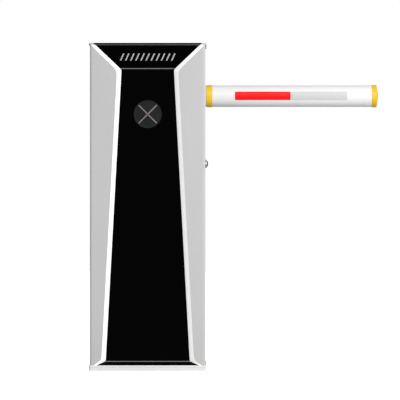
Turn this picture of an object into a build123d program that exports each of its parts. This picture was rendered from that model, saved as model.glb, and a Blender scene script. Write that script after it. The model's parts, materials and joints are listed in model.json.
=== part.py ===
"""Parking barrier gate: a slim cabinet with a recessed front and a boom that swings up beside it.

Frame: +X points along the lowered boom, +Y to the back of the cabinet, +Z up. The origin is the
centre of the anchor bolt pattern on the underside of the base plate. Millimetres.
"""

import os
from math import acos, asin, cos, degrees, pi, radians, sin, sqrt, tan

from build123d import *

# ---- driving dimensions -------------------------------------------------------------------------
CASE_W = 352.0  # cabinet case, left to right
CASE_D = 300.0  # front to back
CASE_H = 1000.0  # ground to the top of the lid
LIP = 3.4  # how far base and lid stand out past the case
SHEET = 1.5  # sheet steel of the case
BASE_T = 10.0  # base plate
GROOVE = 1.2  # shadow line between base plate and plinth
PLINTH_TOP = 17.0
LID_T = 5.0
CORNER_R = 6.0  # outer bend of the case corners

RECESS = 14.0  # depth of the front panel behind the case front
FOLD_HIGH = 922.3  # where the top visor starts to lean forward
FOLD_LOW = 28.6  # where the kick panel starts to lean forward
SEAM = 2.6  # bright strip in each fold

SIGNAL_Z = 783.0
SIGNAL_R = 42.5

SHAFT_X = 90.0
SHAFT_Z = 848.6
SHAFT_R = 17.5
SHAFT_BACK = 176.0
FIT = 0.05  # radial clearance of a running fit

BOOM_Y = 200.0
TUBE_R = 34.0
TUBE_WALL = 2.7
BOOM_START = 179.8
BOOM_END = 720.8
CAP_R = 35.1

LEVER_R = 60.0  # pin circle of the levers and of the crank
LEVER_ANGLE = 135.0  # their direction with the boom down
CRANK_X = SHAFT_X
CRANK_Z = 518.0

MODULE = 2.5
CRANK_TEETH = 60
PINION_TEETH = 15
BACKLASH = 0.3
PRESSURE_ANGLE = radians(20)

ANCHOR_X = 220.0  # spacing of the four anchor holes
ANCHOR_Y = 160.0
ANCHOR_R = 9.0
CABLE_R = 30.0
CABLE_X = 55.0
CABLE_Y = 35.0

LOCK_Y = 95.0
LOCK_Z = 634.0

# ---- worked out from them -----------------------------------------------------------------------
HALF_W = CASE_W / 2
FRONT = -CASE_D / 2
BACK = CASE_D / 2
CASE_TOP = CASE_H - LID_T
WALL_X = HALF_W - SHEET  # inner face of the side walls
PANEL_Y = FRONT + RECESS  # front face of the recessed panel
PIN_X = SHAFT_X + LEVER_R * cos(radians(LEVER_ANGLE))
PIN_DZ = LEVER_R * sin(radians(LEVER_ANGLE))
PINION_X = CRANK_X - MODULE * (CRANK_TEETH + PINION_TEETH) / 2

# side walls run between the front column and the rear panel's return
SIDE_FRONT = -112.0
SIDE_BACK = 118.0
HINGE_X = 172.0
HINGE_Y = -118.0
KNUCKLE_R = 4.0

# frame levels
BEAM = 30.0
BEAM_TOP = 798.0
BEAM_YS = (-70.0, 35.0, 110.0)
ANCHOR_TOP = 400.0
RAIL_XS = (150.0, 163.5)

os.makedirs("parts", exist_ok=True)


def write(piece, name):
    """Label a finished piece and write its STEP file."""
    piece.part.label = name
    export_step(piece.part, f"parts/{name}.step")


def facing_front(y):
    """Plane across the object at depth y: local x is +X, local y is +Z, extrusion goes to -Y."""
    return Plane(origin=(0, y, 0), x_dir=(1, 0, 0), z_dir=(0, -1, 0))


def facing_right(x):
    """Plane along the object at x: local x is +Y, local y is +Z, extrusion goes to +X."""
    return Plane.YZ.offset(x)


def level(z):
    """Horizontal plane at height z, extrusion goes up."""
    return Plane.XY.offset(z)


# ---- front outline ------------------------------------------------------------------------------
# Each edge is three straight lines, foot flare, leg and top flare, blended by a smooth maximum.
EDGE_LEVELS = [17, 20, 23, 26, 29, 32, 36, 42, 52, 880, 900, 908, 913, 917, 921, 925, 930, 938, 952, 995]


def blend(a, b, rounding):
    """Larger of two values, with the corner between them rounded."""
    return 0.5 * (a + b + sqrt((a - b) ** 2 + rounding**2))


def panel_edge(z):
    """Half width of the black panel at height z."""
    leg = 80.2 + 0.0544 * (914 - z)
    top = 83.5 + 1.064 * (z - FOLD_HIGH)
    foot = 129.3 - 2.388 * (z - FOLD_LOW)
    return blend(blend(leg, top, 3), foot, 3)


def column_edge(z):
    """Half distance between the silver columns at height z."""
    leg = 93.0 + 0.0544 * (914 - z)
    top = 99.5 + 1.025 * (z - FOLD_HIGH)
    foot = 141.0 - 1.35 * (z - 34)
    return min(blend(blend(leg, top, 7), foot, 6), WALL_X)


def edge_depth(z):
    """Y of the black panel's front face at height z, which leans forward at both ends."""
    high = max(0.0, (z - FOLD_HIGH) / (CASE_TOP - FOLD_HIGH))
    low = max(0.0, (FOLD_LOW - z) / (FOLD_LOW - PLINTH_TOP))
    return PANEL_Y - RECESS * (high + low)


def both_sides(edge, z_low, z_high):
    """Closed outline between the left and right edge curves."""
    levels = [z_low] + [z for z in EDGE_LEVELS if z_low < z < z_high] + [z_high]
    right = [(edge(z), z) for z in levels]
    left = [(-x, z) for x, z in reversed(right)]
    return right + left


# ---- base ---------------------------------------------------------------------------------------
with BuildPart() as base_plate:
    with BuildSketch():
        RectangleRounded(CASE_W + 2 * LIP, CASE_D + 2 * LIP, 5)
        with GridLocations(ANCHOR_X, ANCHOR_Y, 2, 2):
            Circle(ANCHOR_R, mode=Mode.SUBTRACT)
        with Locations((CABLE_X, CABLE_Y)):
            Circle(CABLE_R, mode=Mode.SUBTRACT)
    extrude(amount=BASE_T)
write(base_plate, "base_plate")

RING_X = 260.0  # opening of the plinth ring
RING_Y = 200.0
with BuildPart() as plinth_frame:
    with BuildSketch(level(BASE_T)):
        RectangleRounded(CASE_W + 2 * LIP, CASE_D + 2 * LIP, 5)
        RectangleRounded(RING_X, RING_Y, 8, mode=Mode.SUBTRACT)
    extrude(amount=PLINTH_TOP - BASE_T)
    chamfer(plinth_frame.faces().sort_by(Axis.Z)[-1].outer_wire().edges(), length=1)
    with BuildSketch(level(BASE_T)):
        RectangleRounded(CASE_W + 2 * LIP, CASE_D + 2 * LIP, 5)
        RectangleRounded(CASE_W + 2 * LIP - 2, CASE_D + 2 * LIP - 2, 4, mode=Mode.SUBTRACT)
    extrude(amount=GROOVE, mode=Mode.SUBTRACT)
write(plinth_frame, "plinth_frame")

# ---- silver case --------------------------------------------------------------------------------
COLUMN_RETURN = -125.0  # where the column's side wall ends
COLUMN_IN = 70.0  # blank width, inside the narrowest point of the edge curve
with BuildPart() as right_column:
    with BuildSketch(level(PLINTH_TOP)):
        with BuildLine():
            Line((COLUMN_IN, FRONT), (HALF_W - CORNER_R, FRONT))
            CenterArc((HALF_W - CORNER_R, FRONT + CORNER_R), CORNER_R, -90, 90)
            Line((HALF_W, FRONT + CORNER_R), (HALF_W, COLUMN_RETURN))
            Line((HALF_W, COLUMN_RETURN), (WALL_X, COLUMN_RETURN))
            Line((WALL_X, COLUMN_RETURN), (WALL_X, FRONT + CORNER_R))
            CenterArc((HALF_W - CORNER_R, FRONT + CORNER_R), CORNER_R - SHEET, 0, -90)
            Line((HALF_W - CORNER_R, FRONT + SHEET), (COLUMN_IN, FRONT + SHEET))
            Line((COLUMN_IN, FRONT + SHEET), (COLUMN_IN, FRONT))
        make_face()
    extrude(amount=CASE_TOP - PLINTH_TOP)
    with BuildSketch(facing_front(FRONT + SHEET)):
        Polygon(*both_sides(column_edge, PLINTH_TOP, CASE_TOP))
    extrude(amount=3, both=True, mode=Mode.SUBTRACT)
write(right_column, "right_column")

with BuildPart() as left_column:
    add(mirror(right_column.part, about=Plane.YZ))
write(left_column, "left_column")

with BuildPart() as left_side_panel:
    with BuildSketch(level(PLINTH_TOP)):
        with Locations((-HALF_W, COLUMN_RETURN + 1)):
            Rectangle(SHEET, SIDE_BACK - COLUMN_RETURN - 1, align=(Align.MIN, Align.MIN))
        for y in (COLUMN_RETURN + 1, SIDE_BACK - SHEET):
            with Locations((-HALF_W, y)):
                Rectangle(6.5, SHEET, align=(Align.MIN, Align.MIN))
    extrude(amount=CASE_TOP - PLINTH_TOP)
write(left_side_panel, "left_side_panel")

VENT_W = 60.0
VENT_H = 5.0
VENT_XS = (-70, 0, 70)
VENT_ZS = range(90, 190, 14)
SHAFT_HOLE_R = 22.0
with BuildPart() as rear_panel:
    with BuildSketch(level(PLINTH_TOP)):
        with BuildLine():
            FilletPolyline(
                (-HALF_W, SIDE_BACK + 1.5),
                (-HALF_W, BACK),
                (HALF_W, BACK),
                (HALF_W, SIDE_BACK + 1.5),
                radius=CORNER_R,
            )
            offset(amount=SHEET, side=Side.RIGHT)
        make_face()
    extrude(amount=CASE_TOP - PLINTH_TOP)
    with BuildSketch(facing_front(BACK)):
        with Locations((SHAFT_X, SHAFT_Z)):
            Circle(SHAFT_HOLE_R)
        for x in VENT_XS:
            for z in VENT_ZS:
                with Locations((x, z)):
                    SlotOverall(VENT_W, VENT_H)
    extrude(amount=3, both=True, mode=Mode.SUBTRACT)
write(rear_panel, "rear_panel")

FLANGE_IN = 24.0  # how much narrower the lid's inner flange is than the case
FLANGE_H = 14.0
with BuildPart() as lid:
    with BuildSketch(level(CASE_TOP)):
        RectangleRounded(CASE_W + 2 * LIP, CASE_D + 2 * LIP, 7)
    extrude(amount=LID_T)
    chamfer(lid.faces().sort_by(Axis.Z)[-1].edges(), length=1)
    with BuildSketch(level(CASE_TOP)):
        RectangleRounded(CASE_W - FLANGE_IN, CASE_D - FLANGE_IN, 6)
        RectangleRounded(CASE_W - FLANGE_IN - 4, CASE_D - FLANGE_IN - 4, 5, mode=Mode.SUBTRACT)
    extrude(amount=-FLANGE_H)
write(lid, "lid")

# ---- recessed front -----------------------------------------------------------------------------
with BuildPart() as bevel_trim_right:
    for z in EDGE_LEVELS:
        inner = panel_edge(z)
        outer = column_edge(z)
        depth = edge_depth(z)
        with BuildSketch(level(z)):
            Polygon((inner, depth), (outer, FRONT), (outer, FRONT + SHEET), (inner, depth + SHEET))
    loft(ruled=True)
write(bevel_trim_right, "bevel_trim_right")

with BuildPart() as bevel_trim_left:
    add(mirror(bevel_trim_right.part, about=Plane.YZ))
write(bevel_trim_left, "bevel_trim_left")

with BuildPart() as front_panel:
    with BuildSketch(facing_front(PANEL_Y + SHEET)):
        Polygon(*both_sides(panel_edge, FOLD_LOW + SEAM / 2, FOLD_HIGH - SEAM / 2))
        with Locations((0, SIGNAL_Z)):
            Circle(SIGNAL_R - 1.5, mode=Mode.SUBTRACT)
    extrude(amount=SHEET)
write(front_panel, "front_panel")


def leaning_panel(z_flat, z_front):
    """Sheet that leans from the recessed panel to the case front, cut to the panel's outline."""
    with BuildPart() as sheet:
        with BuildSketch(facing_right(-HALF_W)):
            Polygon(
                (PANEL_Y, z_flat), (FRONT, z_front), (FRONT + SHEET, z_front), (PANEL_Y + SHEET, z_flat)
            )
        extrude(amount=CASE_W)
        with BuildSketch(facing_front(PANEL_Y + 4)):
            Polygon(*both_sides(panel_edge, min(z_flat, z_front), max(z_flat, z_front)))
        extrude(amount=RECESS + 8, mode=Mode.INTERSECT)
    return sheet


top_visor = leaning_panel(FOLD_HIGH + SEAM / 2, CASE_TOP)
write(top_visor, "top_visor")

kick_panel = leaning_panel(FOLD_LOW - SEAM / 2, PLINTH_TOP)
write(kick_panel, "kick_panel")

with BuildPart() as seam_strips:
    for z in (FOLD_LOW, FOLD_HIGH):
        with BuildSketch(facing_front(PANEL_Y + SHEET)):
            with Locations((0, z)):
                Rectangle(2 * panel_edge(z) - 2, SEAM)
        extrude(amount=SHEET + 0.6)
write(seam_strips, "seam_strips")

# ---- signal -------------------------------------------------------------------------------------
LENS_FRONT = PANEL_Y - 1.0
with BuildPart() as signal_lens:
    with BuildSketch(facing_front(PANEL_Y)):
        with Locations((0, SIGNAL_Z)):
            Circle(SIGNAL_R)
    extrude(amount=1)
    with BuildSketch(facing_front(PANEL_Y + 4)):
        with Locations((0, SIGNAL_Z)):
            Circle(SIGNAL_R - 1.7)
    extrude(amount=4)
write(signal_lens, "signal_lens")

CROSS_ARM = 78.0  # each bar of the cross, tip to tip
CROSS_BAR = 4.2
with BuildPart() as signal_cross:
    with BuildSketch(facing_front(LENS_FRONT)):
        with Locations((0, SIGNAL_Z)):
            Rectangle(CROSS_ARM, CROSS_BAR, rotation=45)
            Rectangle(CROSS_ARM, CROSS_BAR, rotation=-45)
    extrude(amount=0.5)
write(signal_cross, "signal_cross")

HOUSING_BACK = -100.0
HOUSING_R = 48.0
BOARD_Y = -103.0  # back face of the lamp board, and floor of the housing
LAMP = 4.0
LAMP_REACHES = (8, 17, 26, 35)
with BuildPart() as signal_housing:
    with BuildSketch(facing_front(HOUSING_BACK)):
        with Locations((0, SIGNAL_Z)):
            Circle(HOUSING_R)
    extrude(amount=HOUSING_BACK - PANEL_Y - SHEET)
    with BuildSketch(facing_front(BOARD_Y)):
        with Locations((0, SIGNAL_Z)):
            Circle(HOUSING_R - 3)
    extrude(amount=BOARD_Y - PANEL_Y - SHEET, mode=Mode.SUBTRACT)
    fillet(signal_housing.edges().filter_by(GeomType.CIRCLE).sort_by(Axis.Y)[-1], radius=2)
write(signal_housing, "signal_housing")

with BuildPart() as signal_board:
    with BuildSketch(facing_front(BOARD_Y)):
        with Locations((0, SIGNAL_Z)):
            Circle(HOUSING_R - 3.5)
    extrude(amount=3)
    with BuildSketch(facing_front(BOARD_Y - 3)):
        with Locations((0, SIGNAL_Z)):
            for turn in (45, 135, 225, 315):
                for reach in LAMP_REACHES:
                    with Locations((reach * cos(radians(turn)), reach * sin(radians(turn)))):
                        Rectangle(LAMP, LAMP)
    extrude(amount=1.5)
write(signal_board, "signal_board")

# ---- frame --------------------------------------------------------------------------------------
POST = 28.0
POST_T = 4.0
BEND_CUT = 4.5  # corner cut so that a post clears the case's inner bend
FRONT_POST_X = 167.5
FRONT_POST_Y = -132.0
with BuildPart() as corner_posts:
    for side in (-1, 1):
        for x, y, inward in ((FRONT_POST_X, FRONT_POST_Y, 1), (WALL_X, BACK - SHEET, -1)):
            with BuildSketch(level(PLINTH_TOP)):
                Polygon(
                    (side * x, y + inward * BEND_CUT),
                    (side * (x - BEND_CUT), y),
                    (side * (x - POST), y),
                    (side * (x - POST), y + inward * POST_T),
                    (side * (x - POST_T), y + inward * POST_T),
                    (side * (x - POST_T), y + inward * POST),
                    (side * x, y + inward * POST),
                )
            extrude(amount=CASE_TOP - 15 - PLINTH_TOP)
write(corner_posts, "corner_posts")


def tube_outline(plane, centre, width, height, wall):
    """Cross-section of a rectangular tube about a centre."""
    with BuildSketch(plane) as outline:
        with Locations(centre):
            Rectangle(width, height)
            Rectangle(width - 2 * wall, height - 2 * wall, mode=Mode.SUBTRACT)
    return outline.sketch


RAIL_WALL = 2.0
BEAM_WALL = 3.0
RAIL_FRONT = FRONT_POST_Y + POST_T
RAIL_BACK = BACK - SHEET - POST_T
with BuildPart() as side_rails:
    rail_w = RAIL_XS[1] - RAIL_XS[0]
    for side in (-1, 1):
        for top in (BEAM_TOP - BEAM, ANCHOR_TOP - BEAM):
            centre = (side * (RAIL_XS[0] + rail_w / 2), top - BEAM / 2)
            outline = tube_outline(facing_front(RAIL_BACK), centre, rail_w, BEAM, RAIL_WALL)
            extrude(outline, amount=RAIL_BACK - RAIL_FRONT)
write(side_rails, "side_rails")

with BuildPart() as cross_beams:
    for y in BEAM_YS:
        outline = tube_outline(facing_right(-RAIL_XS[1]), (y, BEAM_TOP - BEAM / 2), BEAM, BEAM, BEAM_WALL)
        extrude(outline, amount=2 * RAIL_XS[1])
write(cross_beams, "cross_beams")

ANCHOR_BEAM_BACK = 12.0
ANCHOR_BEAM_D = 57.0
EYE_BOLT_HOLE_R = 5.5
with BuildPart() as anchor_beam:
    with BuildSketch(facing_right(-RAIL_XS[1])):
        with Locations((ANCHOR_BEAM_BACK, ANCHOR_TOP)):
            Rectangle(ANCHOR_BEAM_D, BEAM, align=(Align.MAX, Align.MAX))
        with Locations((ANCHOR_BEAM_BACK - BEAM_WALL, ANCHOR_TOP - BEAM_WALL)):
            Rectangle(ANCHOR_BEAM_D - 2 * BEAM_WALL, BEAM, align=(Align.MAX, Align.MAX), mode=Mode.SUBTRACT)
    extrude(amount=2 * RAIL_XS[1])
    with BuildSketch(level(ANCHOR_TOP)):
        with Locations((PIN_X, -20)):
            Circle(EYE_BOLT_HOLE_R)
    extrude(amount=-BEAM, mode=Mode.SUBTRACT)
write(anchor_beam, "anchor_beam")

PLATE_BACK = 20.0
PLATE_T = 8.0
BOSS_R = 28.0
BOSS_BACK = 38.0
CRANK_SHAFT_R = 14.0
with BuildPart() as drive_plate:
    with BuildSketch(facing_front(PLATE_BACK)):
        with Locations((29, 584)):
            RectangleRounded(238, 428, 8)
        with Locations((95, 680)):
            RectangleRounded(76, 110, 10, mode=Mode.SUBTRACT)
        with Locations((-55, 655), (-55, 428)):
            RectangleRounded(44, 60, 8, mode=Mode.SUBTRACT)
        with Locations((PINION_X, CRANK_Z)):
            Circle(12, mode=Mode.SUBTRACT)
    extrude(amount=PLATE_T)
    with BuildSketch(facing_front(BOSS_BACK)):
        with Locations((CRANK_X, CRANK_Z)):
            Circle(BOSS_R)
    extrude(amount=BOSS_BACK - PLATE_BACK)
    with BuildSketch(facing_front(BOSS_BACK)):
        with Locations((CRANK_X, CRANK_Z)):
            Circle(CRANK_SHAFT_R + FIT)
    extrude(amount=30, mode=Mode.SUBTRACT)
write(drive_plate, "drive_plate")

# ---- shaft bearings -----------------------------------------------------------------------------
BLOCK_YS = (BEAM_YS[0], BEAM_YS[2])
BLOCK_T = 25.0
INSERT_R = 31.0
BLOCK_R = 42.0
FOOT_W = 128.0
FOOT_H = 15.0
FOOT_BOLT_DX = 53.0
with BuildPart() as bearing_blocks:
    for y in BLOCK_YS:
        with BuildSketch(facing_front(y + BLOCK_T / 2)):
            with Locations((SHAFT_X, SHAFT_Z)):
                Circle(BLOCK_R)
            with Locations((SHAFT_X, BEAM_TOP)):
                Rectangle(2 * BLOCK_R, SHAFT_Z - BEAM_TOP, align=(Align.CENTER, Align.MIN))
                Rectangle(FOOT_W, FOOT_H, align=(Align.CENTER, Align.MIN))
            with Locations((SHAFT_X, SHAFT_Z)):
                Circle(INSERT_R, mode=Mode.SUBTRACT)
        extrude(amount=BLOCK_T)
    with BuildSketch(level(BEAM_TOP)):
        for y in BLOCK_YS:
            with Locations((SHAFT_X - FOOT_BOLT_DX, y), (SHAFT_X + FOOT_BOLT_DX, y)):
                Circle(5.5)
    extrude(amount=20, mode=Mode.SUBTRACT)
write(bearing_blocks, "bearing_blocks")

with BuildPart() as bearing_inserts:
    for y in BLOCK_YS:
        with BuildSketch(facing_front(y + BLOCK_T / 2 + 2)):
            with Locations((SHAFT_X, SHAFT_Z)):
                Circle(INSERT_R)
                Circle(SHAFT_R + FIT, mode=Mode.SUBTRACT)
        extrude(amount=BLOCK_T + 4)
write(bearing_inserts, "bearing_inserts")

SEAL_R = 30.0
with BuildPart() as shaft_seal:
    with BuildSketch(facing_front(BACK + 3)):
        with Locations((SHAFT_X, SHAFT_Z)):
            Circle(SEAL_R)
            Circle(SHAFT_R + 0.5, mode=Mode.SUBTRACT)
    extrude(amount=3)
    with BuildSketch(facing_front(BACK)):
        with Locations((SHAFT_X, SHAFT_Z)):
            Circle(SHAFT_HOLE_R)
            Circle(SHAFT_R + 0.5, mode=Mode.SUBTRACT)
    extrude(amount=SHEET)
write(shaft_seal, "shaft_seal")

# ---- stops and limit switches -------------------------------------------------------------------
STOP_Y = (30.0, 42.0)
STOP_R = 72.0  # shaft axis to the stop arm's roller
ROLLER_R = 12.0
BUFFER_DX = 57.0
PILLAR_H = 75.0
ROLLER_LOW = SHAFT_Z + STOP_R * sin(radians(45)) - ROLLER_R
BUFFER_TOP = ROLLER_LOW - 0.3
with BuildPart() as stop_bracket:
    with BuildSketch(facing_front(STOP_Y[1])):
        with Locations((SHAFT_X, BEAM_TOP)):
            Rectangle(130, 20, align=(Align.CENTER, Align.MIN))
        with Locations((SHAFT_X - BUFFER_DX, BEAM_TOP), (SHAFT_X + BUFFER_DX, BEAM_TOP)):
            Rectangle(16, PILLAR_H, align=(Align.CENTER, Align.MIN))
    extrude(amount=STOP_Y[1] - STOP_Y[0])
write(stop_bracket, "stop_bracket")

with BuildPart() as stop_buffers:
    for side in (-1, 1):
        with BuildSketch(level(BEAM_TOP + PILLAR_H)):
            with Locations((SHAFT_X + side * BUFFER_DX, (STOP_Y[0] + STOP_Y[1]) / 2)):
                Circle(6.8)
        extrude(amount=BUFFER_TOP - BEAM_TOP - PILLAR_H)
    chamfer(stop_buffers.edges().filter_by(GeomType.CIRCLE).group_by(Axis.Z)[-1], length=1.5)
write(stop_buffers, "stop_buffers")

CAM_R = 32.0
SWITCH_DX = 24.0
with BuildPart() as limit_switches:
    for side in (-1, 1):
        x = SHAFT_X + side * SWITCH_DX
        with BuildSketch(facing_front(-37)):
            with Locations((x, 778)):
                Rectangle(20, 30, align=(Align.CENTER, Align.MIN))
        extrude(amount=18)
        with BuildSketch(facing_front(-42)):
            with Locations((x, 806)):
                Rectangle(5, 12, align=(Align.CENTER, Align.MIN))
            with Locations((x, 817.5)):
                Circle(6)
        extrude(amount=5)
write(limit_switches, "limit_switches")

# ---- main shaft and what it carries -------------------------------------------------------------
with BuildPart() as main_shaft:
    with BuildSketch(facing_front(SHAFT_BACK)):
        with Locations((SHAFT_X, SHAFT_Z)):
            Circle(SHAFT_R)
    extrude(amount=SHAFT_BACK + 95)
    chamfer(main_shaft.edges().filter_by(GeomType.CIRCLE), length=1.5)
write(main_shaft, "main_shaft")


def on_circle(radius, angle):
    """Point on a circle about the main shaft, in the front view."""
    return (SHAFT_X + radius * cos(radians(angle)), SHAFT_Z + radius * sin(radians(angle)))


def lever_outline(y_back, reach, angle, hub_r, web, tip_r):
    """Flat lever clamped on the main shaft: hub, straight web and round tip."""
    tip = on_circle(reach, angle)
    middle = on_circle(reach / 2, angle)
    with BuildSketch(facing_front(y_back)) as outline:
        with Locations((SHAFT_X, SHAFT_Z)):
            Circle(hub_r)
        with Locations(tip):
            Circle(tip_r)
        with Locations(middle):
            Rectangle(reach, web, rotation=angle)
        with Locations((SHAFT_X, SHAFT_Z)):
            Circle(SHAFT_R, mode=Mode.SUBTRACT)
    return outline.sketch


ROD_Y = (64.0, 74.0)
PIN_R = 7.0
with BuildPart() as drive_lever:
    extrude(lever_outline(88, LEVER_R, LEVER_ANGLE, 28, 20, 15), amount=10)
    with BuildSketch(facing_front(78)):
        with Locations(on_circle(LEVER_R, LEVER_ANGLE)):
            Circle(PIN_R)
    extrude(amount=78 - ROD_Y[0] + 4)
write(drive_lever, "drive_lever")

SPRING_Y = -20.0
SPRING_PIN_R = 5.0
with BuildPart() as spring_lever:
    extrude(lever_outline(6, LEVER_R, LEVER_ANGLE, 28, 20, 13), amount=10)
    with BuildSketch(facing_front(-4)):
        with Locations(on_circle(LEVER_R, LEVER_ANGLE)):
            Circle(SPRING_PIN_R)
    extrude(amount=26)
write(spring_lever, "spring_lever")

with BuildPart() as stop_arm:
    extrude(lever_outline(STOP_Y[1], STOP_R, 45, 26, 10, ROLLER_R), amount=STOP_Y[1] - STOP_Y[0])
write(stop_arm, "stop_arm")

with BuildPart() as limit_cam:
    with BuildSketch(facing_front(-40)):
        with Locations((SHAFT_X, SHAFT_Z)):
            Circle(CAM_R)
            Circle(SHAFT_R, mode=Mode.SUBTRACT)
        with Locations(on_circle(CAM_R, 90)):
            Rectangle(26, 12, mode=Mode.SUBTRACT)
    extrude(amount=8)
write(limit_cam, "limit_cam")

# ---- boom ---------------------------------------------------------------------------------------
HUB_FRONT = 156.0
HUB_BACK = 172.0
HUB_R = 48.0
SOCKET_START = 108.0
SOCKET_R = 33.4
SPIGOT_END = 262.0
TUBE_START = BOOM_START + 1.4
TUBE_END = 712.0
with BuildPart() as boom_holder:
    with BuildSketch(facing_front(HUB_BACK)):
        with Locations((SHAFT_X, SHAFT_Z)):
            Circle(HUB_R)
    extrude(amount=HUB_BACK - HUB_FRONT)
    with BuildSketch(facing_right(SOCKET_START)):
        with Locations((BOOM_Y, SHAFT_Z)):
            Circle(SOCKET_R)
        with Locations((HUB_FRONT, SHAFT_Z)):
            Rectangle(BOOM_Y - HUB_FRONT, 56, align=(Align.MIN, Align.CENTER))
    extrude(amount=BOOM_START - 2 - SOCKET_START)
    fillet(boom_holder.edges().filter_by(GeomType.CIRCLE).sort_by(Axis.X)[-1], radius=1)
    with BuildSketch(facing_right(BOOM_START - 5)):
        with Locations((BOOM_Y, SHAFT_Z)):
            Circle(TUBE_R - TUBE_WALL)
    extrude(amount=SPIGOT_END - BOOM_START + 5)
    chamfer(boom_holder.edges().filter_by(GeomType.CIRCLE).sort_by(Axis.X)[-1], length=2)
    with BuildSketch(facing_front(HUB_BACK + 1)):
        with Locations((SHAFT_X, SHAFT_Z)):
            Circle(SHAFT_R)
    extrude(amount=HUB_BACK - HUB_FRONT + 2, mode=Mode.SUBTRACT)
write(boom_holder, "boom_holder")

BOLT_CIRCLE_R = 35.5
BOLT_HEAD_R = 7.5
BOLT_HEAD_H = 6.0
with BuildPart() as holder_bolts:
    for angle in (90, 150, 210, 270):
        with BuildSketch(facing_front(HUB_BACK + BOLT_HEAD_H)):
            with Locations(on_circle(BOLT_CIRCLE_R, angle)):
                RegularPolygon(BOLT_HEAD_R, 6)
        extrude(amount=BOLT_HEAD_H)
write(holder_bolts, "holder_bolts")

with BuildPart() as boom_tube:
    with BuildSketch(facing_right(TUBE_START)):
        with Locations((BOOM_Y, SHAFT_Z)):
            Circle(TUBE_R)
            Circle(TUBE_R - TUBE_WALL, mode=Mode.SUBTRACT)
    extrude(amount=TUBE_END - TUBE_START)
write(boom_tube, "boom_tube")

BOOM_AXIS = Axis((0, BOOM_Y, SHAFT_Z), (1, 0, 0))
BOOM_PROFILE = Plane(origin=(0, BOOM_Y, SHAFT_Z), x_dir=(1, 0, 0), z_dir=(0, -1, 0))  # (x, radius)


COLLAR_END = 198.4
with BuildPart() as boom_collar:
    with BuildSketch(BOOM_PROFILE):
        Polygon(
            (BOOM_START, TUBE_R - TUBE_WALL),
            (BOOM_START, CAP_R - 1),
            (BOOM_START + 1, CAP_R),
            (COLLAR_END - 0.6, CAP_R),
            (COLLAR_END, CAP_R - 0.6),
            (COLLAR_END, TUBE_R),
            (TUBE_START, TUBE_R),
            (TUBE_START, TUBE_R - TUBE_WALL),
        )
    revolve(axis=BOOM_AXIS)
write(boom_collar, "boom_collar")

BAND_START = 700.3
BAND_END = 715.8
DOME_H = BOOM_END - BAND_END
DOME_R = (CAP_R**2 + DOME_H**2) / (2 * DOME_H)  # sphere through the band's edge and the tip
with BuildPart() as boom_end_cap:
    with BuildSketch(BOOM_PROFILE):
        with BuildLine():
            Polyline((TUBE_END, 0), (TUBE_END, TUBE_R), (BAND_START, TUBE_R), (BAND_START, CAP_R))
            Line((BAND_START, CAP_R), (BAND_END, CAP_R))
            half_way = (BOOM_END - DOME_R + sqrt(DOME_R**2 - (CAP_R / 2) ** 2), CAP_R / 2)
            ThreePointArc((BAND_END, CAP_R), half_way, (BOOM_END, 0))
            Line((BOOM_END, 0), (TUBE_END, 0))
        make_face()
    revolve(axis=BOOM_AXIS)
write(boom_end_cap, "boom_end_cap")

REFLECTOR_X = (269.3, 444.3, 622.7)
REFLECTOR_T = 0.45
REFLECTOR_HALF = degrees(asin(13.1 / TUBE_R))  # half angle of the band on the tube


def reflector_outline(x, middle):
    """End view of a thin curved plate on the tube, centred on the angle middle."""
    with BuildSketch(facing_right(x)) as outline:
        with BuildLine():
            start = middle - REFLECTOR_HALF
            outer = CenterArc((BOOM_Y, SHAFT_Z), TUBE_R + REFLECTOR_T, start, 2 * REFLECTOR_HALF)
            inner = CenterArc((BOOM_Y, SHAFT_Z), TUBE_R, start, 2 * REFLECTOR_HALF)
            Line(outer @ 0, inner @ 0)
            Line(outer @ 1, inner @ 1)
        make_face()
    return outline.sketch


with BuildPart() as reflector_red:
    for middle in (180, 0):
        extrude(reflector_outline(REFLECTOR_X[0], middle), amount=REFLECTOR_X[1] - REFLECTOR_X[0] - 0.2)
write(reflector_red, "reflector_red")

with BuildPart() as reflector_white:
    for middle in (180, 0):
        extrude(reflector_outline(REFLECTOR_X[1], middle), amount=REFLECTOR_X[2] - REFLECTOR_X[1])
write(reflector_white, "reflector_white")

# ---- linkage and gears --------------------------------------------------------------------------


def gear_outline(teeth, centre_angle):
    """Involute gear outline; a tooth is centred on centre_angle (degrees)."""
    pitch = MODULE * teeth / 2
    base = pitch * cos(PRESSURE_ANGLE)
    tip = pitch + 0.9 * MODULE
    root = pitch - 1.25 * MODULE
    start = max(base, root)
    half = pi / (2 * teeth) - BACKLASH / (2 * pitch)
    involute = tan(PRESSURE_ANGLE) - PRESSURE_ANGLE
    flank = [(root, half + involute)] if root < base else []
    for step in range(4):
        radius = start + (tip - start) * step / 3
        roll = acos(base / radius)
        flank.append((radius, half + involute - (tan(roll) - roll)))
    tooth = [(r, -a) for r, a in flank] + [(r, a) for r, a in reversed(flank)]
    return [
        (r * cos(a + turn), r * sin(a + turn))
        for turn in (radians(centre_angle) + 2 * pi * k / teeth for k in range(teeth))
        for r, a in tooth
    ]


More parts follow.
